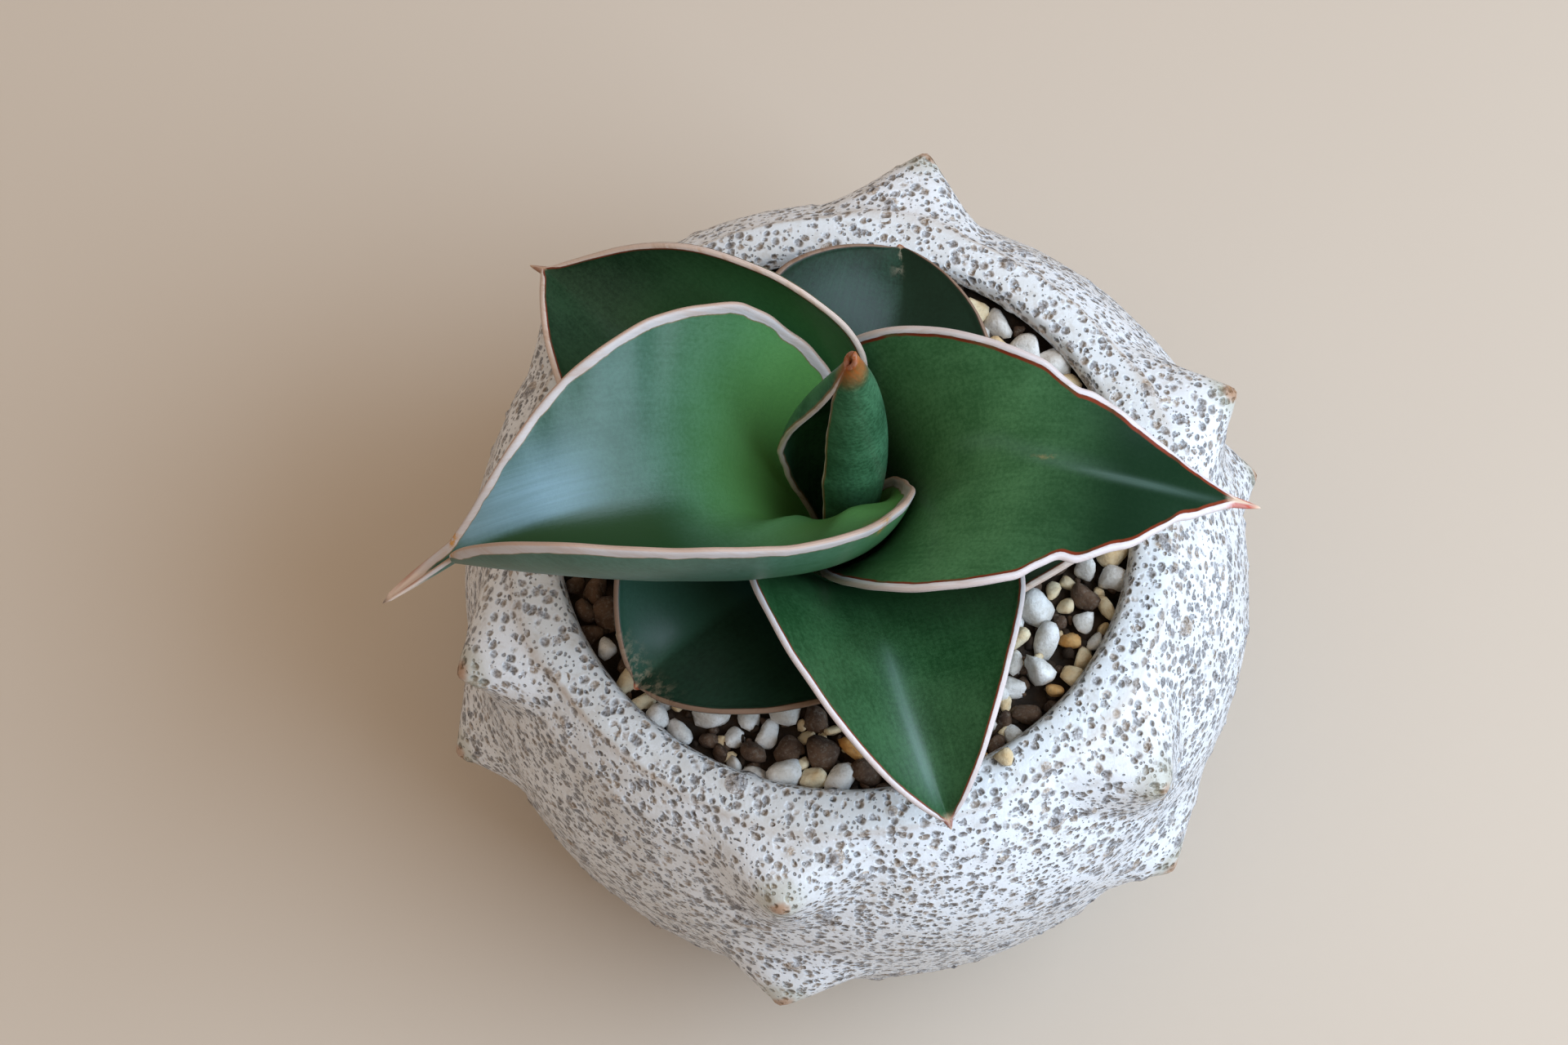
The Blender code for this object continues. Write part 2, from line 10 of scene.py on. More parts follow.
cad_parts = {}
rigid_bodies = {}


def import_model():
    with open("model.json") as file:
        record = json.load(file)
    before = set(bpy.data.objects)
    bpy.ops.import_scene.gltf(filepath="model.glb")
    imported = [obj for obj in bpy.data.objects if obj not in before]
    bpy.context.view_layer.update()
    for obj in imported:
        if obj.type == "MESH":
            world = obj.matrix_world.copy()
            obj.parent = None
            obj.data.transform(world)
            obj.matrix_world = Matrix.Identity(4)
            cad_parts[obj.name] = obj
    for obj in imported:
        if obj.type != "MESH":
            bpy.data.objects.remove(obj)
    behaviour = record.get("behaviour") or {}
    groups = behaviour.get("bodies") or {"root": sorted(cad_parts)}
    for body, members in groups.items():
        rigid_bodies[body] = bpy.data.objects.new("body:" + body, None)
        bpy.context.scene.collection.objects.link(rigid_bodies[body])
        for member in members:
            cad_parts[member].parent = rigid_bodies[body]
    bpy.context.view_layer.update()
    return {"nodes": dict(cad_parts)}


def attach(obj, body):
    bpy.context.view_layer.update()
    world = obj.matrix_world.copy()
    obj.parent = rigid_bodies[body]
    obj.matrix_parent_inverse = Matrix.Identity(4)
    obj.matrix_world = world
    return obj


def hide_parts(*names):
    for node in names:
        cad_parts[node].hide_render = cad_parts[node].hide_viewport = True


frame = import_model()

MM = 0.001

# Camera: where it looks, how far away it stands, its angle above the horizon and its lens
CAMERA_TARGET = (-9.37, -1.46, 80.0)
CAMERA_DISTANCE = 550.0
CAMERA_ELEVATION = 67.7
CAMERA_LENS = 80.84

# Pot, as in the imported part. Lengths are in millimetres here and below, where nothing else is said
RIM_HEIGHT = 80.0
OPENING_RADIUS = 45.0
LIP_TOP_RADIUS = 48.2
LIP_TOP_HEIGHT = 81.0
CREASE_RADIUS = 51.7
FOOT_RADIUS = 38.0
FLOOR_THICKNESS = 7.0
WALL = 8.0
OUTER_WALL = [
    (CREASE_RADIUS, RIM_HEIGHT), (54.6, 77.2), (58.0, 73.0), (62.6, 62.0), (63.8, 50.0),
    (62.6, 35.0), (57.5, 20.0), (48.0, 8.0), (40.5, 2.0), (FOOT_RADIUS, 0.0),
]
BODY_SHIFT = 2.6
BODY_SHIFT_HEIGHTS = (RIM_HEIGHT, 62.0)
HORNS_PER_RING = 6
FIRST_HORN_AZIMUTH = 20.0
HORN_REACH = 13.0
HORN_RIDGES = 0.12
HORN_ROUNDING = 0.8
HORN_SHARPNESS = 1.4
UPPER_HORN_FOOT = 74.5
UPPER_HORN_TIP = 76.4
LOWER_HORN_FOOT = 42.0
LOWER_HORN_TIP = 42.0
UPPER_HORNS = [(20, 67), (78, 67), (137, 63.5), (203, 65), (261, 64), (318, 66)]
LOWER_HORNS = [(18, 74), (80, 69.5), (140, 68), (203, 68.5), (262, 69.5), (319, 71)]
DRAIN_COUNT = 3
DRAIN_RADIUS = 4.5
DRAIN_CIRCLE = 20.0
DRAIN_SIDES = 32

# Lip of the pot, from the inside to the crease, and the rows and columns of points of its surface
LIP = [
    (OPENING_RADIUS, RIM_HEIGHT - 0.6),
    (OPENING_RADIUS + 1.0, RIM_HEIGHT + 0.8),
    (LIP_TOP_RADIUS, LIP_TOP_HEIGHT),
    (CREASE_RADIUS - 1.0, RIM_HEIGHT + 0.6),
    (CREASE_RADIUS, RIM_HEIGHT - 0.1),
]
THROAT_ROWS = 14
LIP_ROWS = 18
WALL_ROWS = 168
POT_COLUMNS = 456

# Craters of the glaze: one in each cell at most, flatter than round, with a raised rim, and none where the
# distance to its middle is set far away. The groove runs in the crease below the lip
FAR_AWAY = 9.0
CRATER_CELL = 5.0
CRATER_RADII = (0.7, 2.0)
CRATER_FLATNESS = 1.35
CRATER_DEPTH = 0.55
CRATER_RIM = 0.07
GROOVE_DEPTH = 0.35

# Potting mix and crown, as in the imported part
MIX_HEIGHT = 75.0
MIX_GAP = 0.4
PIT_RADIUS = 18.4
PIT_MOUTH_RADIUS = 21.5
CROWN_TOP_HEIGHT = 71.35
CROWN_THICKNESS = 9.0
SLOPE_ROWS = 8
SURFACE_ROWS = 60
SOIL_COLUMNS = 240

# Leaves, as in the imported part, but the beak of leaf_left is a little wider and folded
LEAF_BASE_HEIGHT = 72.0
MARGIN_HALF_THICKNESS = 0.42
BASE_HALF_THICKNESS = 0.52
RIB_HALF_THICKNESS = 0.9
FOLD_WIDTH = 0.12
FULL_SECTION_WIDTH = 3.0
FLESH_PEAK = 0.29
FLESH_END = 0.56
FLESH_FULL = (0.3, 0.75)
SPINE_ROWS = 8
SPINE_SHARE = 0.1
SPINE_THINNING = 0.75
SPINE_TAPER = 0.8
MARGIN_UNEVENNESS = 0.012
BEAD_HEIGHT = 0.13
LOWER_FACE_STEP = 30.0
SECTION_STEPS = 120
FULL_MARGIN_WIDTH = 5.0
# Distances from the margin where the outermost columns of a blade lie
MARGIN_COLUMNS = np.array([0.0, 0.03, 0.1, 0.22, 0.4, 0.65, 0.95, 1.3, 1.7, 2.2, 2.8])
# How much narrower the pale margin is on the lower face: at each leaf's end, and all along these leaves
NARROWER_END = 3.0
NARROWER_RIM = 4.0
NARROW_RIMS = ("leaf_front", "leaf_back_left", "leaf_back", "leaf_front_left")
LEAVES = {
    "leaf_centre": dict(
        root=(3.5, 48), length=63.5,
        azimuth=(45, 41, 34), elevation=(84, 74, 104, 105), roll=(-2, -10, -2),
        left=(8.5, 14.5, 29.5, 14), right=(9, 21.5, 13.5, 15.5),
        fold_left=(0, -3, 23), fold_right=(0, 1, 24),
        curl_left=(150, 104, 165), curl_right=(151, 153, 153),
        ruffle=(0.15, 5), tip_half_width=0.6, spine=(1.0, 34, 80),
    ),
    "leaf_left": dict(
        root=(5.5, -155), length=76.5,
        azimuth=(187, 211, 196), elevation=(66, 66, 31, -20), roll=(26, -39, -6),
        left=(22, 39, 36.5, 43.5), right=(15, 29, 48.5, 14),
        fold_left=(0, 19, 23), fold_right=(0, 8, 4),
        curl_left=(190, 41, 129), curl_right=(151, 1, -6),
        ruffle=(0.55, 5), flesh=(5.8, 0.0),
        tip_half_width=2.3, spine=(13.9, 203, -31), taper=0.45,
    ),
    "leaf_right": dict(
        root=(7.5, -6), length=76,
        azimuth=(13, -14, -13), elevation=(78, 98, -23, -26), roll=(-15, 27, -27),
        left=(9.5, 50, 10.5, 6), right=(16, 19, 46, 13),
        fold_left=(0, 5, -3), fold_right=(0, 16, -3),
        curl_left=(79, 48, -8), curl_right=(123, 2, -8),
        ruffle=(0.2, 4), flesh=(0.0, 1.4),
        tip_half_width=1.1, spine=(4.3, -10, -8), taper=0.7,
        notches_left=((0.63, 0.05, 0.035), (0.6, -0.03, 0.02), (0.655, 0.05, 0.02), (0.74, -0.02, 0.02)),
        notches_right=(
            (0.63, 0.05, 0.035), (0.61, -0.03, 0.02), (0.67, 0.07, 0.022), (0.8, -0.06, 0.03),
            (0.88, 0.08, 0.02),
        ),
    ),
    "leaf_back_left": dict(
        root=(9.5, 152), length=59.5,
        azimuth=(162, 140, 134), elevation=(51, 77, -2, -5), roll=(-9, 2, 6),
        left=(11.5, 24, 28, 18.5), right=(9.5, 25.5, 54, 18),
        fold_left=(0, 1, 30), fold_right=(0, 0, 29),
        curl_left=(70, 1, 21), curl_right=(67, 122, 43),
        ruffle=(0.15, 3), tip_half_width=0.8, spine=(3.0, 150, -20),
    ),
    "leaf_front": dict(
        root=(10, -73), length=57.5,
        azimuth=(-72, -87, -64), elevation=(77, 38, 11, -47), roll=(-1, -23, 4),
        left=(12, 34.5, 17.5, 18), right=(7.5, 32, 26.5, 14),
        fold_left=(0, -3, 37), fold_right=(0, 10, 35),
        curl_left=(69, -6, 25), curl_right=(65, 4, 16),
        ruffle=(0.1, 3), tip_half_width=0.8, spine=(2.0, -65, -45),
    ),
    "leaf_back": dict(
        root=(12, 77), length=38.5,
        azimuth=(66, 69, 96), elevation=(70, 30, -2, -8), roll=(0, 5, 7),
        left=(11.5, 23, 29.5, 32), right=(8.5, 23.5, 21.5, 13),
        fold_left=(0, 9, 35), fold_right=(0, 1, 25),
        curl_left=(56, 14, 24), curl_right=(40, -3, 10),
        ruffle=(0.1, 2), tip_half_width=1.0, spine=(1.2, 95, -15),
    ),
    "leaf_front_left": dict(
        root=(14.5, -138), length=34,
        azimuth=(228, 228, 215), elevation=(61, 40, 11, -33), roll=(-2, 1, -4),
        left=(13, 29.5, 28, 25.5), right=(12, 22.5, 25, 24.5),
        fold_left=(0, 5, 33), fold_right=(0, 3, 39),
        curl_left=(52, -5, 23), curl_right=(48, -1, 35),
        ruffle=(0.1, 2), tip_half_width=1.0, spine=(1.2, 216, -35),
    ),
    "leaf_right_low": dict(
        root=(15.5, -8), length=31.5,
        azimuth=(-7, -7, -5), elevation=(61, 39, 5, -11), roll=(0, 0, -4),
        left=(6.5, 16, 18, 11), right=(12.5, 21, 21, 8.5),
        fold_left=(0, 7, 21), fold_right=(0, 8, 26),
        curl_left=(24, 0, 3), curl_right=(46, 1, 25),
        ruffle=(0.1, 2), tip_half_width=0.8, spine=(1.5, -5, -20),
    ),
}

# Skins of the leaves: their gloss, and the values that differ from those of the leaf_skin group
LEAF_SKINS = {
    # The left skin's bluish highlight colour is a painted reflection of the window light
    "left": (0.42, {
        "Deep": (0.024, 0.08, 0.05), "Fresh": (0.055, 0.135, 0.1), "Glow": (0.115, 0.32, 0.08),
        "Shade": (0.011, 0.045, 0.01), "Dry": (0.5, 0.24, 0.05), "Painted Highlight": (0.21, 0.36, 0.46),
        "Margin": (0.52, 0.475, 0.475), "Margin Dry": (0.42, 0.22, 0.11), "Margin Width": 1.6,
        "Line": (0.22, 0.15, 0.07), "Line Width": 0.12, "Rim Dry": 0.6,
        "Tip": (0.42, 0.2, 0.13), "Tip Start": 1.03, "Tip Full": 1.07, "Tip End": (0.72, 0.58, 0.5),
    }),
    "right": (0.08, {
        "Deep": (0.036, 0.12, 0.045), "Fresh": (0.078, 0.212, 0.092), "Margin Width": 0.95,
        "Dry": (0.38, 0.27, 0.13), "Shade": (0.004, 0.02, 0.008),
        "Line Width": 0.6, "Tip": (0.5, 0.07, 0.03), "Tip Start": 0.98, "Tip End": (0.8, 0.62, 0.48),
    }),
    "front": (0.26, {
        "Deep": (0.012, 0.054, 0.017), "Fresh": (0.034, 0.11, 0.043), "Margin Width": 0.5,
        "Line Width": 0.3, "Tip": (0.3, 0.1, 0.06),
    }),
    # The next two skins are darker copies of the leaf skin, margins too: painted shade for the leaves that
    # lie in shade, the second darker still
    "dusk": (0.35, {
        "Deep": (0.009, 0.031, 0.013), "Fresh": (0.025, 0.068, 0.032), "Glow": (0.045, 0.17, 0.05),
        "Margin": (0.68, 0.58, 0.54), "Margin Width": 0.55, "Line Width": 0.34, "Patches": 0.5,
        "Tip": (0.3, 0.14, 0.08), "Tip Start": 1.0,
    }),
    "dull": (0.26, {
        "Deep": (0.007, 0.019, 0.01), "Fresh": (0.015, 0.045, 0.026), "Glow": (0.027, 0.085, 0.058),
        "Shade": (0.004, 0.016, 0.006),
        "Margin": (0.26, 0.175, 0.13), "Margin Dry": (0.17, 0.09, 0.05), "Margin Width": 0.4,
        "Line": (0.06, 0.025, 0.015), "Line Width": 0.15, "Patches": 0.7, "Tip Start": 1.0,
    }),
    "centre": (0.4, {
        "Deep": (0.014, 0.055, 0.026), "Fresh": (0.065, 0.19, 0.1), "Glow": (0.06, 0.22, 0.07),
        "Margin": (0.62, 0.56, 0.54), "Margin Width": 0.3, "Line": (0.24, 0.13, 0.06), "Line Width": 0.25,
        "Rim Dry": 0.3, "Patches": 0.6, "Tip": (0.36, 0.085, 0.012), "Tip Start": 0.89, "Tip Full": 0.97,
        "Tip End": (0.36, 0.1, 0.018),
    }),
}

# Loose grains: number, smallest and largest radius, light and dark tint, and how strong the pores are
GRAINS = {
    "pumice_grains": (100, 1.7, 3.1, (0.86, 0.86, 0.87), (0.6, 0.57, 0.53), 0.25),
    "cream_grains": (70, 1.1, 2.6, (0.82, 0.72, 0.52), (0.66, 0.48, 0.27), 0.2),
    "orange_grains": (45, 1.1, 2.5, (0.72, 0.46, 0.2), (0.52, 0.24, 0.06), 0.3),
    "brown_lumps": (110, 1.2, 3.0, (0.13, 0.078, 0.05), (0.055, 0.032, 0.022), 0.6),
}
DARK_SOIL = {"Light": (0.022, 0.014, 0.009), "Dark": (0.05, 0.03, 0.018), "Pore": (0.005, 0.004, 0.003)}
CROWN_STEM = {"Light": (0.02, 0.05, 0.012), "Dark": (0.012, 0.03, 0.008), "Pores": 0.3}
STRAY_GRAIN = (24.1, -41.0, 82.0)
STRAY_RADIUS = 1.5
CRUMB_COUNT = 300
CRUMB_RADII = (0.5, 1.25)
CRUMB_LIFT = 0.2

# Stones: how far they stand up from the mix as a share of their radius, and by chance, their gap to the
# leaves, the share of their radii that they keep apart, the rounds and the strength of their pushing, the
# steps round and up of a stone's grid, and the number of its planes, its flatness, bluntness and roughness
STONE_LIFT = 0.25
LIFT_BY_CHANCE = (-0.5, 0.7)
LEAF_GAP = 0.15
PACKING = 0.92
PACKING_ROUNDS = 80
PUSH = 0.35
LARGE_STONE_STEPS = (14, 9)
SMALL_STONE_STEPS = (9, 6)
STONE_PLANES = 10
STONE_FLATNESS = 0.62
STONE_BLUNTNESS = 5.0
STONE_ROUGHNESS = 0.13

# Studio, in metres: each light's place, side, power and colour, where they point, and the floor
WINDOW_LIGHT = ((0.54, -0.15, 0.54), 0.75, 8.75, (0.638, 0.819, 1.0))
ROOM_LIGHT = ((0.0, 0.0, 1.8), 4.0, 29.5, (1.0, 0.7, 0.41))
LIGHT_TARGET = (0.0, 0.0, 0.08)
BACKGROUND_COLOUR = (1.0, 0.98, 0.95, 1.0)
BACKGROUND_STRENGTH = 0.25
FLOOR_HALF_SIDE = 3.0
FLOOR_COLOURS = ((0.56, 0.485, 0.415, 1.0), (0.6, 0.52, 0.445, 1.0))

# Materials: bump heights in metres, how far the pits are warped, and for two layers of pits in the glaze
# their number in a metre and their smallest and largest radius as a share of a cell
LEAF_BUMP = 0.00006
GRAIN_BUMP = 0.0002
GLAZE_BUMP = 0.00065
PIT_WARP = 0.0009
LARGE_PITS = (640.0, 0.34, 0.63)
SMALL_PITS = (1250.0, 0.1, 0.45)


# Small tools

def smoothstep(low, high, value):
    """Zero below low, one above high, and the cubic 3s^2 - 2s^3 between them."""
    share = np.clip((value - low) / (high - low), 0.0, 1.0)
    return share * share * (3 - 2 * share)


def bell(value, middle, width):
    """One in the middle, and to both sides e to the minus square of the distance over the width."""
    return np.exp(-((value - middle) / width) ** 2)


def bezier(values, t):
    """Value at t, from 0 to 1, of the Bezier curve with these control values."""
    degree = len(values) - 1
    return sum(
        comb(degree, index) * value * t**index * (1 - t) ** (degree - index)
        for index, value in enumerate(values)
    )


def smooth_curve(points, count):
    """The Catmull-Rom curve through the points, as count points at equal steps of chord length."""
    points = np.array(points, dtype=float)
    padded = np.vstack([2 * points[0] - points[1], points, 2 * points[-1] - points[-2]])
    fine = []
    for index in range(len(points) - 1):
        p0, p1, p2, p3 = padded[index:index + 4]
        t = np.linspace(0.0, 1.0, 24, endpoint=False)[:, None]
        fine.append(
            0.5 * (2 * p1 + (p2 - p0) * t + (2 * p0 - 5 * p1 + 4 * p2 - p3) * t**2
                   + (3 * p1 - p0 - 3 * p2 + p3) * t**3)
        )
    fine = np.vstack(fine + [points[-1:]])
    chord = np.concatenate([[0.0], np.cumsum(np.linalg.norm(np.diff(fine, axis=0), axis=1))])
    wanted = np.linspace(0.0, chord[-1], count)
    return np.column_stack([np.interp(wanted, chord, fine[:, axis]) for axis in range(2)])


def cell_numbers(cells, seed):
    """A number from 0 to 1 for each whole-number cell, from an integer hash of its three indices."""
    cells = cells.astype(np.int64)
    value = cells[..., 0] * 73856093 ^ cells[..., 1] * 19349663 ^ cells[..., 2] * 83492791
    value = (value + seed * 374761393) & 0xFFFFFFFF
    for _ in range(2):
        value = ((value ^ (value >> 16)) * 0x45D9F3B) & 0xFFFFFFFF
    return ((value ^ (value >> 16)) & 0xFFFFFF) / float(0x1000000)


def lumps(points, size, seed):
    """Smooth noise from -1 to 1: random numbers at the corners of cubes of that size, blended in between."""
    scaled = points / size
    home = np.floor(scaled)
    part = scaled - home
    part = part * part * (3 - 2 * part)
    total = 0.0
    for corner in product((0, 1), repeat=3):
        near = np.abs(1 - np.array(corner) - part)
        weight = near[..., 0] * near[..., 1] * near[..., 2]
        total = total + weight * cell_numbers(home + np.array(corner), seed)
    return 2 * total - 1


def pits(points, cell, radii, seed):
    """Distance to the nearest pit as a share of its radius, and a random number for that pit.

    One pit stands at a random place in each cube of the given size, with a random radius.
    """
    home = np.floor(points / cell)
    nearest = np.full(points.shape[:-1], FAR_AWAY)
    number = np.zeros(points.shape[:-1])
    for neighbour in product((-1, 0, 1), repeat=3):
        cube = home + np.array(neighbour)
        place = np.stack([cell_numbers(cube, seed + axis) for axis in range(3)], axis=-1)
        radius = radii[0] + (radii[1] - radii[0]) * cell_numbers(cube, seed + 3) ** 2
        share = np.linalg.norm(points - (cube + place) * cell, axis=-1) / radius
        closer = share < nearest
        nearest = np.where(closer, share, nearest)
        number = np.where(closer, cell_numbers(cube, seed + 4), number)
    return nearest, number


def closed(array, first, last):
    """Values or points at the grid's points, row by row, then those of the points that close its ends."""
    return np.concatenate([array.reshape(-1, *array.shape[2:]), [first], [last]])


def grid_normals(grid):
    """Unit normals of a grid of points, across the directions from each point to its neighbours."""
    normals = np.cross(np.gradient(grid, axis=0), np.gradient(grid, axis=1))
    length = np.linalg.norm(normals, axis=2, keepdims=True)
    return normals / np.maximum(length, 1e-12)


def point_at(radius, azimuth, height):
    """The point at a radius, an azimuth in radians and a height."""
    return np.array([radius * np.cos(azimuth), radius * np.sin(azimuth), height])


def direction(azimuth, elevation):
    """The unit vector at an azimuth and an angle above the horizon, both in radians."""
    level = np.cos(elevation)
    return np.stack([np.cos(azimuth) * level, np.sin(azimuth) * level, np.sin(elevation)], axis=-1)


def turned(profile, columns):
    """A profile of radii and heights turned round the axis, as a grid of points: rows by columns."""
    azimuth = np.linspace(0.0, 2 * pi, columns, endpoint=False)[None]
    height = np.repeat(profile[:, 1:], columns, axis=1)
    return np.stack([profile[:, :1] * np.cos(azimuth), profile[:, :1] * np.sin(azimuth), height], axis=-1)


def tube_faces(rows, columns):
    """Four-sided faces between rows of points that close round on themselves, and fans over both ends.

    After the rows' points come two more: the middle of the first row's fan, and that of the last row's.
    """
    column = np.arange(columns)
    beside = (column + 1) % columns
    start = np.arange(rows - 1)[:, None] * columns
    below = start + columns
    quads = np.stack([below + column, below + beside, start + beside, start + column], axis=-1)
    last = (rows - 1) * columns
    middle = np.full(columns, rows * columns)
    fans = np.vstack([
        np.stack([middle, column, beside], axis=1),
        np.stack([middle + 1, last + beside, last + column], axis=1),
    ])
    return quads.reshape(-1, 4), fans


def new_piece(name, points, faces, material, values=None, replaced=None):
    """A smooth piece on the root body, from points in millimetres, faces and named values at its points."""
    mesh = bpy.data.meshes.new(name)
    mesh.from_pydata((np.asarray(points) * MM).tolist(), [], faces)
    for key, array in (values or {}).items():
        array = np.asarray(array, dtype=np.float32)
        kind = "FLOAT_VECTOR" if array.ndim == 2 else "FLOAT"
        field = "vector" if array.ndim == 2 else "value"
        layer = mesh.attributes.new(key, kind, "POINT")
        layer.data.foreach_set(field, array.ravel())
    mesh.shade_smooth()
    mesh.materials.append(material)
    piece = bpy.data.objects.new(name, mesh)
    bpy.context.scene.collection.objects.link(piece)
    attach(piece, "root")
    if replaced:
        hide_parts(replaced)
    return piece


# Material tools

class Nodes:
    """The nodes of one tree. A value is a number, a colour, a node's socket, or a group input's name."""

    def __init__(self, tree, given=None):
        self.tree = tree
        self.given = given

    def add(self, kind, values=None, **settings):
        """A new node with its settings, and its inputs set or linked by name or index."""
        made = self.tree.nodes.new("ShaderNode" + kind)
        for key, value in settings.items():
            setattr(made, key, value)
        for key, value in (values or {}).items():
            value = self.given[value] if isinstance(value, str) else value
            if isinstance(value, bpy.types.NodeSocket):
                self.tree.links.new(value, made.inputs[key])
            else:
                made.inputs[key].default_value = value
        return made

    def maths(self, operation, *values):
        """The result of one operation on the values."""
        return self.add("Math", dict(enumerate(values)), operation=operation).outputs[0]

    def times(self, first, second):
        """The product of two values."""
        return self.maths("MULTIPLY", first, second)

    def times_plus(self, first, second, third):
        """The product of two values, plus a third."""
        return self.maths("MULTIPLY_ADD", first, second, third)

    def mix(self, share, first, second):
        """Goes from the first colour to the second as the share goes from 0 to 1."""
        return self.add("Mix", {0: share, 6: first, 7: second}, data_type="RGBA").outputs[2]

    def step(self, value, low, high, start=0.0, end=1.0):
        """Goes smoothly from start to end as the value goes from low to high."""
        values = {"Value": value, "From Min": low, "From Max": high, "To Min": start, "To Max": end}
        return self.add("MapRange", values, interpolation_type="SMOOTHSTEP").outputs["Result"]

    def masks(self, *names):
        """The piece's own attributes with these names, one value each."""
        return [self.add("Attribute", attribute_name=name).outputs["Fac"] for name in names]

    def stretched(self, vector, scale):
        """The vector with each of its axes times its own scale."""
        return self.add("Mapping", {"Vector": vector, "Scale": scale}).outputs[0]

    def noise(self, vector, scale, detail=3.0, roughness=0.5, distortion=0.0):
        """Soft random values, with patches about one unit over the scale wide."""
        values = dict(Vector=vector, Scale=scale, Detail=detail, Roughness=roughness, Distortion=distortion)
        return self.add("TexNoise", values).outputs["Fac"]

    def put_out(self, colour, roughness, height):
        """Links the three results of a group, and gives back its tree."""
        result = self.tree.nodes.new("NodeGroupOutput").inputs
        for index, socket in enumerate((colour, roughness, height)):
            self.tree.links.new(socket, result[index])
        return self.tree


def with_alpha(value):
    """A colour as its group input takes it. A number stays as it is."""
    return (*value, 1.0) if isinstance(value, tuple) else value


def new_group(name, inputs):
    """A shader node group with these inputs, and colour, roughness and height as its outputs."""
    group = bpy.data.node_groups.new(name, "ShaderNodeTree")
    for label, value in inputs.items():
        kind = "NodeSocketColor" if isinstance(value, tuple) else "NodeSocketFloat"
        socket = group.interface.new_socket(name=label, in_out="INPUT", socket_type=kind)
        socket.default_value = with_alpha(value)
    for label, kind in (("Colour", "Color"), ("Roughness", "Float"), ("Height", "Float")):
        group.interface.new_socket(name=label, in_out="OUTPUT", socket_type="NodeSocket" + kind)
    return Nodes(group, group.nodes.new("NodeGroupInput").outputs)


def new_material(name, **values):
    """A material, its nodes and its Principled shader, with constants set on the shader's own sockets."""
    material = bpy.data.materials.new(name)
    material.use_nodes = True
    shader = material.node_tree.nodes["Principled BSDF"]
    for key, value in values.items():
        shader.inputs[key.replace("_", " ")].default_value = value
    return material, Nodes(material.node_tree), shader


def dressed_material(name, group, values, bump_distance, **constants):
    """A material whose colour, roughness and height come from a group with its own values."""
    material, nodes, shader = new_material(name, **constants)
    placed = nodes.add("Group", node_tree=group)
    for key, value in values.items():
        placed.inputs[key].default_value = with_alpha(value)
    bump = nodes.add("Bump", {"Height": placed.outputs["Height"], "Distance": bump_distance})
    nodes.tree.links.new(placed.outputs["Colour"], shader.inputs["Base Color"])
    nodes.tree.links.new(placed.outputs["Roughness"], shader.inputs["Roughness"])
    nodes.tree.links.new(bump.outputs[0], shader.inputs["Normal"])
    return material


# Materials

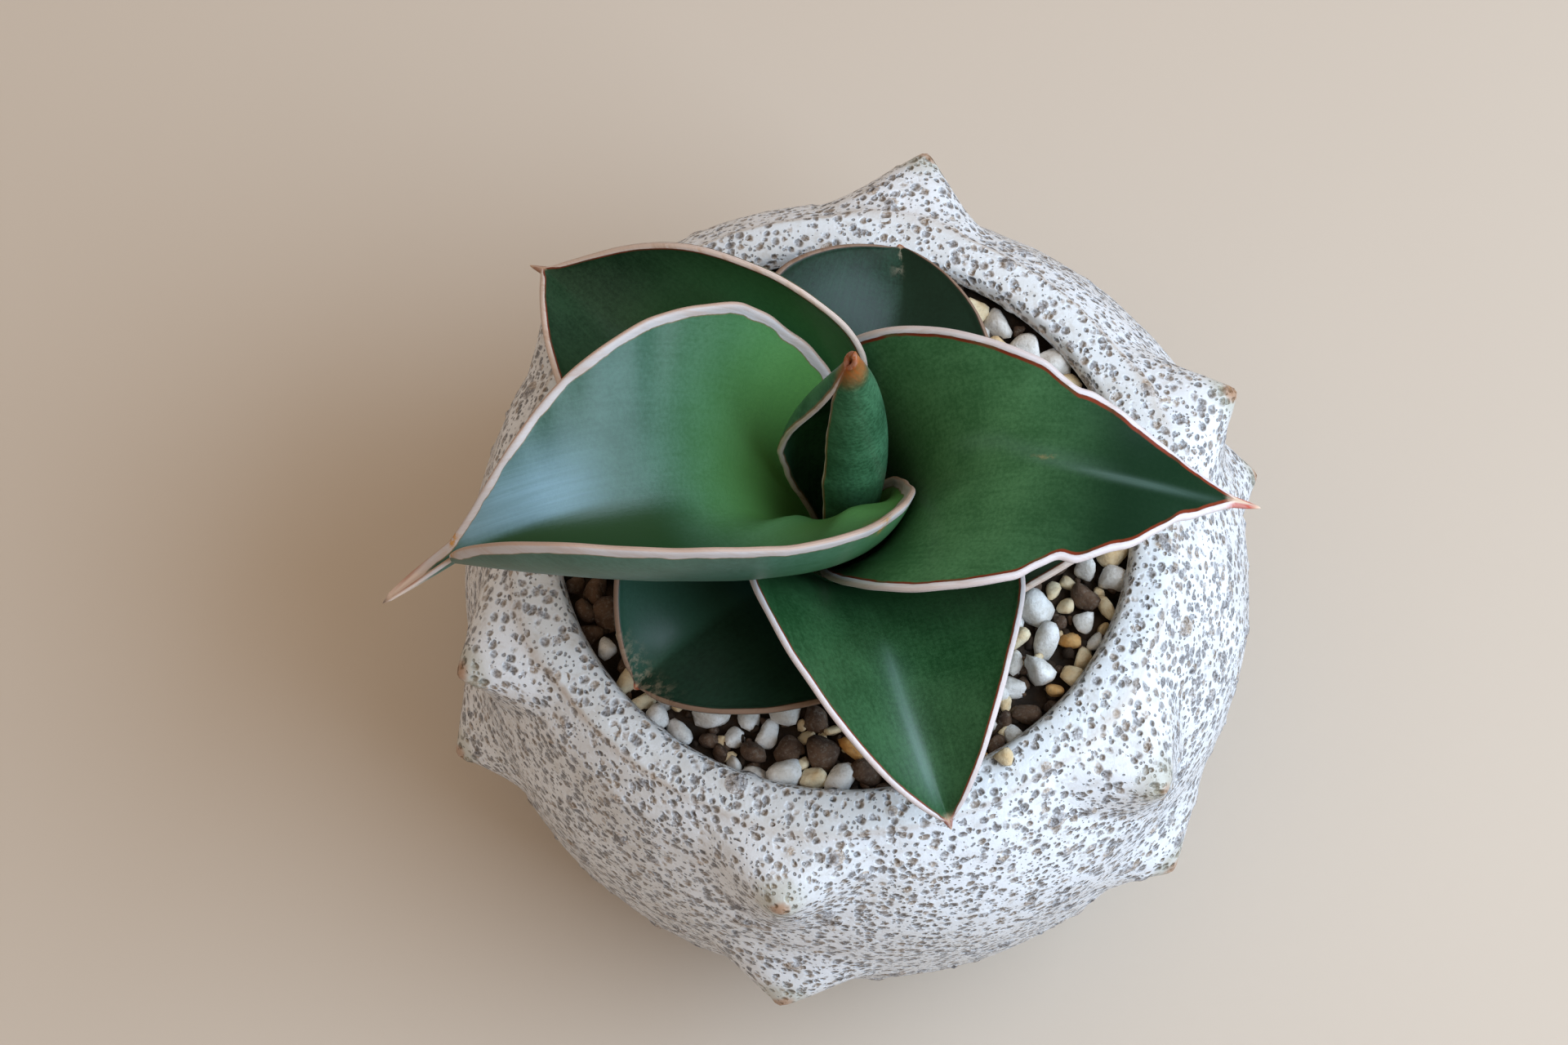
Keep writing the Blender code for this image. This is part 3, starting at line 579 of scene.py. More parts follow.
def leaf_skin_group():
    """Mottled green skin, painted light glowing towards the base, painted shade, painted highlights, a pale
    margin with a dark line inside it, and dry spots.

    Lengths are in millimetres, and so is the blade attribute: across, along, and a step to the lower face.
    """
    nodes = new_group("leaf_skin", {
        "Deep": (0.006, 0.03, 0.008), "Fresh": (0.02, 0.08, 0.025), "Glow": (0.07, 0.22, 0.03),
        "Shade": (0.008, 0.035, 0.01), "Painted Highlight": (0.16, 0.26, 0.24), "Margin": (0.72, 0.69, 0.74),
        "Margin Dry": (0.45, 0.25, 0.13), "Margin Width": 1.2, "Rim Dry": 0.25, "Patches": 0.25,
        "Line": (0.2, 0.035, 0.015), "Line Width": 0.35, "Dry": (0.36, 0.3, 0.22),
        "Tip": (0.42, 0.1, 0.04), "Tip Start": 0.98, "Tip Full": 1.015, "Tip End": (0.6, 0.42, 0.3),
    })
    mix, step, times, times_plus, noise = nodes.mix, nodes.step, nodes.times, nodes.times_plus, nodes.noise
    place = nodes.add("Attribute", attribute_name="blade").outputs["Vector"]
    edge, along, glow, shade, dry, painted_highlight = nodes.masks("edge", "along", "glow", "shade", "dry", "painted_highlight")
    fine = noise(place, 1.6, 5.0, 0.65)
    lines = noise(nodes.stretched(place, (1.1, 0.07, 1.0)), 1.0, 4.0, 0.65, 0.4)
    broad = noise(place, 0.13, 4.0)
    tone = times_plus(broad, 0.45, times_plus(fine, 0.55, times(lines, 0.22)))
    colour = mix(step(tone, 0.44, 0.8), "Deep", "Fresh")
    # Painted light and shade: the glow mask lightens the skin towards the glow colour, the shade mask darkens
    # it towards the shade colour
    colour = mix(times(glow, times_plus(fine, 0.5, 0.75)), colour, "Glow")
    colour = mix(shade, colour, "Shade")
    # Painted highlight: pale threads of the highlight colour, laid where the highlight mask is strong
    threads = noise(nodes.stretched(place, (1.6, 0.05, 1.0)), 1.0, 5.0, 0.7, 0.8)
    threads = times(step(threads, 0.35, 0.7, 0.78, 1.0), painted_highlight)
    colour = mix(threads, colour, "Painted Highlight")
    waver = noise(nodes.stretched(place, (0.0, 0.3, 1.0)), 1.0)
    width = times("Margin Width", times_plus(waver, 0.7, 0.65))
    beyond = nodes.maths("SUBTRACT", edge, width)
    line = step(nodes.maths("SUBTRACT", beyond, "Line Width"), -0.12, 0.15, 1.0, 0.0)
    line = times(line, step(waver, 0.3, 0.55, 0.45, 1.0))
    colour = mix(line, colour, "Line")
    band = step(beyond, -0.08, 0.08, 1.0, 0.0)
    patches = noise(nodes.stretched(place, (0.5, 0.12, 1.0)), 1.0, 4.0, 0.6)
    patches = times(step(patches, 0.5, 0.66), "Patches")
    rim = times(step(edge, 0.1, 0.38, 1.0, 0.0), "Rim Dry")
    pale = mix(nodes.maths("MAXIMUM", patches, rim), "Margin", "Margin Dry")
    veins = noise(nodes.stretched(place, (2.5, 0.25, 1.0)), 1.0, 3.0, 0.6)
    pale = mix(step(veins, 0.5, 0.7, 0.0, 0.15), pale, "Margin Dry")
    colour = mix(band, colour, pale)
    spot = times(step(noise(place, 0.55, 6.0, 0.75), 0.44, 0.62), dry)
    colour = mix(spot, colour, "Dry")
    tip = step(times_plus(fine, 0.02, along), "Tip Start", "Tip Full")
    tip = times(tip, step(veins, 0.35, 0.6, 1.0, 0.7))
    point = mix(step(edge, 0.3, 0.7), "Tip", "Tip End")
    colour = mix(tip, colour, point)
    colour = mix(step(along, 1.05, 1.095, 0.0, 0.9), colour, "Tip End")
    roughness = times_plus(band, 0.15, times_plus(fine, 0.2, 0.3))
    height = times_plus(lines, 0.45, times(fine, 0.5))
    height = times_plus(spot, 0.6, height)
    height = times_plus(times(veins, band), 0.8, height)
    return nodes.put_out(colour, roughness, height)


def leaf_material(name, group, gloss, values):
    """A leaf's skin, under a thin coat of wax."""
    return dressed_material(
        name, group, values, LEAF_BUMP, Specular_IOR_Level=gloss, Coat_Weight=0.05, Coat_Roughness=0.3
    )


def glaze_group():
    """Pale glaze full of burst bubbles: pits with dark rims and rough floors, and painted shade in their
    middles, over stained stoneware.
    """
    nodes = new_group("pitted_glaze", {
        "Glaze": (0.765, 0.79, 0.85), "Lip Glaze": (0.745, 0.785, 0.84), "Worn": (0.53, 0.5, 0.47),
        "Pit": (0.38, 0.36, 0.37), "Pit Speck And Shadow": (0.07, 0.062, 0.066), "Stain": (0.48, 0.37, 0.28),
        "Olive": (0.36, 0.34, 0.22), "Horn Spot": (0.38, 0.16, 0.055),
    })
    mix, step, times, times_plus, noise = nodes.mix, nodes.step, nodes.times, nodes.times_plus, nodes.noise
    place = nodes.add("TexCoord").outputs["Object"]
    crater, lip, crease, bare, tip = nodes.masks("crater", "lip", "crease", "bare", "horn_tip")
    shift = nodes.add("TexNoise", {"Vector": place, "Scale": 520.0, "Detail": 2.0}).outputs["Color"]
    warped = nodes.add("VectorMath", {0: shift, 1: (PIT_WARP,) * 3, 2: place}, operation="MULTIPLY_ADD")
    warped = nodes.stretched(warped.outputs[0], (1.0, 1.0, 1.5))
    cloud = noise(place, 45.0, 4.0, 0.6)
    grain = noise(place, 1500.0, 3.0, 0.7)
    open_wall = times_plus(bare, -0.35, times_plus(lip, -0.12, 1.0))
    open_wall = nodes.maths("ADD", step(cloud, 0.3, 0.6, -0.12, 0.1), open_wall)

    def pit_layer(scale, low, high):
        """Distance from a pit's middle over its radius, whether the pit is there, and its random shade."""
        cells = nodes.add("TexVoronoi", {"Vector": warped, "Scale": scale})
        random = nodes.add("SeparateColor", {0: cells.outputs["Color"]}).outputs
        share = nodes.maths("DIVIDE", cells.outputs["Distance"], step(random[0], 0.0, 1.0, low, high))
        return share, nodes.maths("LESS_THAN", random[2], open_wall), random[1]

    def within(layer, near, far, most=1.0):
        """A mask that falls from its most to zero between two distances from the pits' middles."""
        return times(step(layer[0], near, far, most, 0.0), layer[1])

    large = pit_layer(*LARGE_PITS)
    floor = within(large, 0.62, 1.05)
    speck = within(pit_layer(*SMALL_PITS), 0.6, 1.0, 0.85)
    hollow = step(crater, 0.0, 0.12)
    depth = times(hollow, step(crater, 0.1, 0.8))
    speckle = noise(place, 2300.0, 2.0, 0.7)
    inside = mix(step(large[2], 0.5, 0.9), "Pit", "Stain")
    inside = mix(step(large[2], 0.1, 0.4, 0.34, 0.0), inside, "Pit Speck And Shadow")
    inside = mix(step(speckle, 0.5, 0.62, 0.0, 0.6), inside, "Glaze")
    inside = mix(step(speckle, 0.36, 0.5, 0.6, 0.0), inside, "Pit Speck And Shadow")
    milk = noise(warped, 330.0, 3.0, 0.65)
    # Painted shade: the middles of the pits and craters are darkened towards the shadow tone
    dark = times(nodes.maths("MAXIMUM", within(large, 0.1, 0.85), depth), 0.32)
    colour = mix(lip, "Glaze", "Lip Glaze")
    for share, coat in (
        (step(cloud, 0.42, 0.72, 0.0, 0.6), "Worn"),
        (step(milk, 0.48, 0.7, 0.0, 0.5), "Worn"),
        (within(large, 1.0, 1.5, 0.5), "Glaze"),
        (times(speck, 0.8), "Pit Speck And Shadow"),
        (times(floor, 0.82), inside),
        (times(hollow, 0.85), inside),
        (dark, "Pit Speck And Shadow"),
        (crease, "Stain"),
        (step(tip, 0.1, 0.8, 0.0, 0.5), "Olive"),
        (step(tip, 0.84, 1.0, 0.0, 0.7), "Horn Spot"),
    ):
        colour = mix(share, colour, coat)
    roughness = step(nodes.maths("MAXIMUM", floor, hollow), 0.0, 1.0, 0.24, 0.65)
    height = nodes.maths("SUBTRACT", times(grain, 0.12), within(large, 0.1, 1.1))
    height = times_plus(speck, -0.35, height)
    return nodes.put_out(colour, roughness, height)


def grain_group():
    """Stone grain: two tints in soft clouds, dark pores and a rough surface."""
    nodes = new_group("grain_stone", {
        "Light": (0.75, 0.74, 0.72), "Dark": (0.5, 0.47, 0.43), "Pore": (0.2, 0.17, 0.14), "Pores": 0.4,
    })
    mix, step, times, noise = nodes.mix, nodes.step, nodes.times, nodes.noise
    place = nodes.add("TexCoord").outputs["Object"]
    cloud = noise(place, 260.0, 4.0, 0.6)
    fine = noise(place, 1700.0, 4.0, 0.65)
    colour = mix(step(cloud, 0.35, 0.68), "Light", "Dark")
    pore = times(step(fine, 0.5, 0.68), "Pores")
    colour = mix(pore, colour, "Pore")
    return nodes.put_out(colour, step(fine, 0.3, 0.7, 0.95, 0.75), times(fine, -1.0))


def grain_material(name, group, values):
    """The stone of one kind of grain, with little gloss."""
    return dressed_material(name, group, values, GRAIN_BUMP, Specular_IOR_Level=0.3)


# Pot

def wall_radius(height):
    """Radius of the outer wall at a height."""
    curve = smooth_curve(OUTER_WALL, 200)[::-1]
    return float(np.interp(height, curve[:, 1], curve[:, 0]))


def inner_wall():
    """Radius and height of the inside of the pot, from the middle of its floor up to the opening."""
    return [
        (FOOT_RADIUS - 4.0, FLOOR_THICKNESS),
        (wall_radius(16.0) - WALL - 1.5, 13.0),
        (wall_radius(24.0) - WALL, 22.0),
        (wall_radius(38.0) - WALL, 36.0),
        (wall_radius(52.0) - WALL, 52.0),
        (wall_radius(64.0) - WALL, 64.0),
        (OPENING_RADIUS + 3.0, 73.0),
        (OPENING_RADIUS, 78.0),
        (OPENING_RADIUS, RIM_HEIGHT),
    ]


def horn_feet_and_tips():
    """Foot and tip of every horn, in millimetres."""
    feet = []
    tips = []
    for foot_height, tip_height, horns in (
        (UPPER_HORN_FOOT, UPPER_HORN_TIP, UPPER_HORNS),
        (LOWER_HORN_FOOT, LOWER_HORN_TIP, LOWER_HORNS),
    ):
        for index, (tip_azimuth, tip_radius) in enumerate(horns):
            foot_azimuth = FIRST_HORN_AZIMUTH + 360.0 / HORNS_PER_RING * index
            feet.append(point_at(wall_radius(foot_height), radians(foot_azimuth), foot_height))
            tips.append(point_at(tip_radius, radians(tip_azimuth), tip_height))
    return shifted(np.array(feet)), np.array(tips)


def shifted(points):
    """Wall points moved sideways with the body: not at the rim, and fully below the shoulder."""
    share = smoothstep(BODY_SHIFT_HEIGHTS[0], BODY_SHIFT_HEIGHTS[1], points[..., 2])
    return points + share[..., None] * np.array([BODY_SHIFT, 0.0, 0.0])


def pot_surface():
    """The pot as rows round its axis, from the inside of the floor over the lip to the foot.

    A point is the profile turned by the azimuth. The wall then moves with the body, and out into the horns
    by a bell curve of the distance to each horn's foot. Last it sinks along its normal into the craters.
    """
    inside = inner_wall()[:-1]
    throat = smooth_curve(inside[-2:] + LIP[:1], THROAT_ROWS)
    lip = smooth_curve(LIP, LIP_ROWS)
    wall = smooth_curve(OUTER_WALL, WALL_ROWS)
    profile = np.vstack([inside[:-2], throat[:-1], lip, wall[1:]])
    first_lip_row = len(inside) - 2 + THROAT_ROWS - 1
    first_wall_row = first_lip_row + LIP_ROWS - 1
    rows = len(profile)
    row = np.arange(rows)[:, None]
    below_crease = row - first_wall_row

    grid = turned(profile, POT_COLUMNS)
    feet, tips = horn_feet_and_tips()
    wall_points = shifted(grid[first_wall_row:])
    follow = 0.45 + 0.55 * smoothstep(0, 8, below_crease[first_wall_row:, None])
    moved = horn_bells(wall_points, feet) * follow
    grid[first_wall_row:] = wall_points + np.einsum("rch,hk->rck", moved, tips - feet)
    normals = -grid_normals(np.concatenate([grid[:, -1:], grid, grid[:, :1]], axis=1))[:, 1:-1]

    outside = smoothstep(first_lip_row - 6, first_lip_row + 2, row) * smoothstep(rows, rows - 6, row)
    bare = pot_bareness(grid, feet, tips, below_crease)
    away, number = pits(grid * np.array([1.0, 1.0, CRATER_FLATNESS]), CRATER_CELL, CRATER_RADII, 21)
    away = np.where(number < 0.2 + 0.3 * bare, FAR_AWAY, away)
    sink = CRATER_DEPTH * np.clip(1 - away, 0.0, 1.0) ** 0.7
    sink = sink - CRATER_RIM * bell(away, 1.2, 0.18)
    uneven = 0.3 * lumps(grid, 14.0, 5) + 0.12 * lumps(grid, 4.0, 6)
    uneven = uneven * (0.3 + 0.7 * smoothstep(0, 8, below_crease))
    offset = outside * (uneven - sink) - GROOVE_DEPTH * bell(below_crease, 0.0, 1.6)
    offset = offset * smoothstep(0.3, 3.0, grid[..., 2])
    grid = grid + normals * offset[..., None]

    from_tip = np.linalg.norm(grid[..., None, :] - tips, axis=-1).min(axis=-1)
    crease = bell(below_crease, 0.5, 0.9) + bell(row, first_lip_row, 0.8)
    on_lip = (row >= first_lip_row - 3) & (row <= first_wall_row)
    values = dict(
        crater=(1 - away) * outside + (outside - 1),
        lip=on_lip * np.ones_like(from_tip),
        crease=crease * (0.45 + 0.3 * lumps(grid, 6.0, 8)),
        bare=bare,
        horn_tip=smoothstep(8.0, 0.5, from_tip + 1.2 * lumps(grid, 2.2, 9)),
    )
    return grid, values


def horn_bells(points, feet):
    """How far each point goes with each horn, as for a cone: one at its foot, and nothing beyond its reach.

    The reach is longer along three ridges: one down the wall, and two up to the lip.
    """
    offset = points[..., None, :] - feet
    distance = np.linalg.norm(offset, axis=-1)
    side = np.stack([-feet[:, 1], feet[:, 0]], axis=1) / np.linalg.norm(feet[:, :2], axis=1)[:, None]
    arc = np.einsum("rchk,hk->rch", offset[..., :2], side)
    turn = np.arctan2(offset[..., 2], arc)
    reach = HORN_REACH * (1 + HORN_RIDGES * np.cos(3 * (turn + pi / 2)) * smoothstep(1.0, 6.0, distance))
    rounded = np.sqrt(distance**2 + HORN_ROUNDING**2) - HORN_ROUNDING
    return np.clip(1 - rounded / reach, 0.0, 1.0) ** HORN_SHARPNESS


def pot_bareness(grid, feet, tips, below_crease):
    """How smooth the glaze has run: below the lip and at the feet of the horns, in patches."""
    near_horn = np.linalg.norm(grid[..., None, :] - 0.5 * (feet + tips), axis=-1).min(axis=-1)
    horn_share = smoothstep(9.0, 4.0, near_horn) * 0.6
    shoulder = bell(below_crease, 6.0, 7.0) * 0.7
    patch = 0.5 + 0.5 * lumps(grid, 11.0, 4)
    return np.clip((horn_share + shoulder) * (0.3 + patch), 0.0, 1.0)


def make_pot(material):
    """The pot's surface, closed by a point on its inner floor and one under its foot, with its drains cut."""
    grid, values = pot_surface()
    points = closed(grid, [0.0, 0.0, FLOOR_THICKNESS], [0.0, 0.0, 0.0])
    quads, fans = tube_faces(*grid.shape[:2])
    faces = quads.tolist() + fans.tolist()
    values = {key: closed(array, 0.0, 0.0) for key, array in values.items()}
    cut_drains(new_piece("glazed_pot", points, faces, material, values, "pot"))


def cut_drains(pot):
    """Three round holes through the floor, by Boolean difference with cylinders that are then removed."""
    cut = pot.modifiers.new("drains", "BOOLEAN")
    cut.operation = "DIFFERENCE"
    cut.solver = "MANIFOLD"
    cut.operand_type = "COLLECTION"
    cutters = bpy.data.collections.new("drain_cutters")
    bpy.context.scene.collection.children.link(cutters)
    for index in range(DRAIN_COUNT):
        azimuth = 2 * pi * (index + 0.5) / DRAIN_COUNT
        bpy.ops.mesh.primitive_cylinder_add(
            vertices=DRAIN_SIDES, radius=DRAIN_RADIUS * MM, depth=3 * FLOOR_THICKNESS * MM,
            location=point_at(DRAIN_CIRCLE, azimuth, 0.0) * MM,
        )
        cutter = bpy.context.active_object
        cutter.users_collection[0].objects.unlink(cutter)
        cutters.objects.link(cutter)
    cut.collection = cutters
    graph = bpy.context.evaluated_depsgraph_get()
    pot.data = bpy.data.meshes.new_from_object(pot.evaluated_get(graph))
    pot.modifiers.clear()
    for cutter in list(cutters.objects):
        bpy.data.objects.remove(cutter, do_unlink=True)
    bpy.data.collections.remove(cutters)


# Leaves

def running_sum(values, step):
    """Trapezoid sum of the rows of values, from zero at the first row."""
    means = (values[1:] + values[:-1]) / 2 * step
    return np.concatenate([np.zeros_like(values[:1]), np.cumsum(means, axis=0)])


def midrib(leaf, t):
    """Points of the midrib, and the unit directions across the blade and up from it, for each t."""
    azimuth, elevation, roll = (np.radians(bezier(leaf[key], t)) for key in ("azimuth", "elevation", "roll"))
    along = direction(azimuth, elevation)
    root_radius, root_azimuth = leaf["root"]
    root = point_at(root_radius, radians(root_azimuth), LEAF_BASE_HEIGHT)
    points = root + running_sum(along, leaf["length"] / (len(t) - 1))
    side = np.column_stack([-np.sin(azimuth), np.cos(azimuth), np.zeros_like(t)])
    above = np.cross(along, side)
    roll = roll[:, None]
    across = side * np.cos(roll) + above * np.sin(roll)
    up = above * np.cos(roll) - side * np.sin(roll)
    return points, across, up


def half_columns(width, count):
    """Where the columns of a half blade lie, from midrib to margin, for each row: rows by columns."""
    room = MARGIN_COLUMNS[::-1] * np.minimum(1.0, width / FULL_MARGIN_WIDTH)[:, None]
    near = 1 - room / width[:, None]
    inner = np.linspace(0.0, 1.0, count, endpoint=False)[None] * near[:, :1]
    return np.hstack([inner, near])


def half_blade(leaf, side, t, count):
    """Distance across, height, share v and width of one half of the blade: rows by columns.

    The section's slope angle is the fold, reached within a short way of the midrib, plus the curl times v,
    and fades at the tip. The section is the running sum of its slope. The margin waves with a ruffle.
    """
    width = bezier((*leaf[side], leaf["tip_half_width"]), t)
    for place, depth, spread in leaf.get("notches_" + side, ()):
        width = width * (1 - depth * bell(t, place, spread))
    uneven = lumps(np.stack([t * 14, np.full_like(t, len(side)), t * 0], axis=1), 1.0, 3)
    width = width * (1 + MARGIN_UNEVENNESS * uneven * np.sin(pi * np.clip(t, 0, 1)))
    fine_v = np.linspace(0.0, 1.0, SECTION_STEPS + 1)
    fold = np.radians(bezier(leaf["fold_" + side], t))
    curl = np.radians(bezier(leaf["curl_" + side], t))
    slope = fold * (1 - np.exp(-fine_v / FOLD_WIDTH))[:, None] + curl * fine_v[:, None]
    slope = slope * smoothstep(0.0, FULL_SECTION_WIDTH, width)
    v = half_columns(width, count)
    position = v * SECTION_STEPS
    low = np.clip(position.astype(int), 0, SECTION_STEPS - 1)
    part = position - low
    row = np.arange(len(t))[:, None]
    sums = [(running_sum(rate, fine_v[1]) * width).T for rate in (np.cos(slope), np.sin(slope))]
    across, height = (total[row, low] * (1 - part) + total[row, low + 1] * part for total in sums)
    waves, number = leaf["ruffle"]
    ends = np.sin(pi * t) ** 0.5
    wave = np.sin(2 * pi * number * t) + 0.3 * np.sin(2 * pi * (2.7 * number) * t + 1.0)
    height = height + (waves * ends * wave)[:, None] * v**3
    return across, height, v, width


def inner_flesh(height, t, v):
    """Extra thickness of one half of the blade where it closes on the younger leaf inside it."""
    along = smoothstep(0.0, FLESH_PEAK, t) * (1 - smoothstep(FLESH_PEAK, FLESH_END, t))
    across = smoothstep(0.0, FLESH_FULL[0], v) * (1 - smoothstep(FLESH_FULL[1], 1.0, v))
    return height * along[:, None] * across


def blade_thickness(t, v, edge):
    """Half thickness, from rib to margin, rounded off over the last part before the edge."""
    swell = smoothstep(0.12, 0.45, t) * (1 - smoothstep(0.8, 1.0, t))
    rib = BASE_HALF_THICKNESS + (RIB_HALF_THICKNESS - BASE_HALF_THICKNESS) * swell
    thickness = MARGIN_HALF_THICKNESS + (rib[:, None] - MARGIN_HALF_THICKNESS) * (1 - v**2)
    inward = np.clip(1 - edge / MARGIN_HALF_THICKNESS, 0.0, 1.0)
    return thickness * np.sqrt(np.maximum(1 - inward**2, 0.0))


def leaf_points(leaf, rows, count):
    """The blade as an upper and a lower grid of points from the left margin to the right one, then the tip.

    Each is the middle surface moved along its normal by the half thickness, with the margin's raised bead.
    """
    t = np.linspace(0.0, 1.0, rows)
    points, across, up = midrib(leaf, t)
    halves = []
    for side, sign, flesh in zip(("left", "right"), (1.0, -1.0), leaf.get("flesh", (0.0, 0.0))):
        x, y, v, width = half_blade(leaf, side, t, count)
        halves.append((
            points[:, None] + sign * across[:, None] * x[..., None] + up[:, None] * y[..., None],
            -sign * v,
            (1 - v) * width[:, None],
            width[:, None] * np.ones_like(v),
            inner_flesh(flesh, t, v),
        ))
    grid, signed, edge, width, flesh = (
        np.concatenate([left[:, :0:-1], right], axis=1) for left, right in zip(*halves)
    )
    thickness = blade_thickness(t, np.abs(signed), edge)
    grid, tip = with_spine(leaf, grid)
    fade = 1 - SPINE_THINNING * np.arange(1, SPINE_ROWS)[:, None] / SPINE_ROWS
    thickness, edge, width = (
        np.concatenate([array, array[-1:] * fade]) for array in (thickness, edge, width)
    )
    flesh = np.concatenate([flesh, np.zeros((len(fade), flesh.shape[1]))])
    signed = np.concatenate([signed, np.repeat(signed[-1:], len(fade), axis=0)])
    along = np.concatenate([t, 1 + SPINE_SHARE * np.arange(1, SPINE_ROWS) / SPINE_ROWS])
    normals = -grid_normals(grid)
    bead = BEAD_HEIGHT * bell(edge, 0.75, 0.5) * smoothstep(0.0, 0.4, edge)
    bead = bead * np.minimum(1.0, width / FULL_MARGIN_WIDTH)
    upper = grid + normals * (thickness + flesh + bead)[..., None]
    lower = grid - normals * (thickness + 0.6 * bead)[..., None]
    return upper, lower, tip, signed, edge, along, width


def with_spine(leaf, grid):
    """The grid with rows added beyond the blade that narrow to the point of the leaf, and that point."""
    length, azimuth, elevation = leaf["spine"]
    along = direction(radians(azimuth), radians(elevation))
    last = grid[-1]
    middle = last[len(last) // 2]
    share = np.arange(1, SPINE_ROWS)[:, None, None] / SPINE_ROWS
    rows = middle + (last - middle) * (1 - share) ** leaf.get("taper", SPINE_TAPER) + along * length * share
    return np.concatenate([grid, rows]), middle + along * length


def leaf_piece(name, rows, count, material, glow, shade, dry, painted_highlight):
    """A closed leaf: each row runs over the upper face and back under the lower one."""
    leaf = LEAVES[name]
    upper, lower, tip, signed, edge, along, width = leaf_points(leaf, rows, count)
    ring = np.concatenate([upper, lower[:, -2:0:-1]], axis=1)
    signed, edge, width = (
        np.concatenate([array, array[:, -2:0:-1]], axis=1) for array in (signed, edge, width)
    )
    under = np.zeros_like(edge)
    under[:, upper.shape[1]:] = 1.0
    along = along[:, None] * np.ones_like(edge)
    narrowed = (name in NARROW_RIMS) * NARROWER_RIM + NARROWER_END * smoothstep(0.97, 1.0, along)
    edge = edge * (1 + narrowed * under)
    place = np.stack([signed * width, along * leaf["length"], LOWER_FACE_STEP * under], axis=-1)
    values = dict(
        blade=closed(place, [0.0, 0.0, 0.0], [0.0, leaf["length"] * (1 + SPINE_SHARE), 0.0]),
        edge=closed(edge, 9.0, 0.0),
        along=closed(along, 0.0, 1 + SPINE_SHARE),
        # Painted light, shade and highlights: the shade and highlight masks only on the upper face, the glow
        # half as strong on the lower face
        glow=closed(glow(along, signed) * (1 - 0.5 * under), 0.0, 0.0),
        shade=closed(shade(along, signed) * (1 - under), 0.0, 0.0),
        dry=closed(dry(along, signed, edge), 0.0, 0.0),
        painted_highlight=closed(painted_highlight(along, signed * width) * (1 - under), 0.0, 0.0),
    )
    points = closed(ring, ring[0].mean(axis=0), tip)
    quads, fans = tube_faces(*ring.shape[:2])
    faces = quads[:, ::-1].tolist() + fans[:, [0, 2, 1]].tolist()
    return new_piece(name + "_blade", points, faces, material, values, name)


# Potting mix

def make_soil(material):
    """The bed of dark mix: its profile turned round the axis, its surface raised and sunk by noise."""
    pit_floor = CROWN_TOP_HEIGHT - CROWN_THICKNESS - MIX_GAP
    foot_height = FLOOR_THICKNESS + MIX_GAP
    wall = np.array(inner_wall())
    top_radius = np.interp(MIX_HEIGHT, wall[:, 1], wall[:, 0]) - MIX_GAP
    across = np.linspace(PIT_MOUTH_RADIUS, top_radius, SURFACE_ROWS)
    slope = np.linspace([PIT_RADIUS, CROWN_TOP_HEIGHT - 1.0], [PIT_MOUTH_RADIUS, MIX_HEIGHT], SLOPE_ROWS)[:-1]
    profile = np.vstack([
        [(PIT_RADIUS, pit_floor)],
        slope,
        np.column_stack([across, np.full(SURFACE_ROWS, MIX_HEIGHT)]),
        wall[-3:0:-1] - [MIX_GAP, 0.0],
        [(FOOT_RADIUS - 4.5, foot_height)],
    ])
    grid = turned(profile, SOIL_COLUMNS)
    on_top = smoothstep(72.0, 75.0, grid[..., 2])
    grid[..., 2] += on_top * (1.1 * lumps(grid, 4.0, 31) + 0.6 * lumps(grid, 1.6, 32) - 0.6)
    points = closed(grid, [0.0, 0.0, pit_floor], [0.0, 0.0, foot_height])
    quads, fans = tube_faces(*grid.shape[:2])
    faces = quads.tolist() + fans.tolist()
    new_piece("soil_bed", points, faces, material, None, "potting_mix")


def grain_shape(around, up):
    """Directions of the points of a ball on a grid of around by up steps with two poles, and its faces."""
    polar = np.linspace(0.0, pi, up + 1)[1:-1]
    ball = turned(np.column_stack([np.sin(polar), np.cos(polar)]), around)
    return closed(ball, [0.0, 0.0, 1.0], [0.0, 0.0, -1.0]), *tube_faces(up - 1, around)


def turn_matrices(turns):
    """The matrix of each turn, from the four numbers w, x, y, z of its unit quaternion."""
    w, x, y, z = turns.T
    return np.stack([
        np.stack([1 - 2 * (y * y + z * z), 2 * (x * y - w * z), 2 * (x * z + w * y)], axis=-1),
        np.stack([2 * (x * y + w * z), 1 - 2 * (x * x + z * z), 2 * (y * z - w * x)], axis=-1),
        np.stack([2 * (x * z - w * y), 2 * (y * z + w * x), 1 - 2 * (x * x + y * y)], axis=-1),
    ], axis=1)


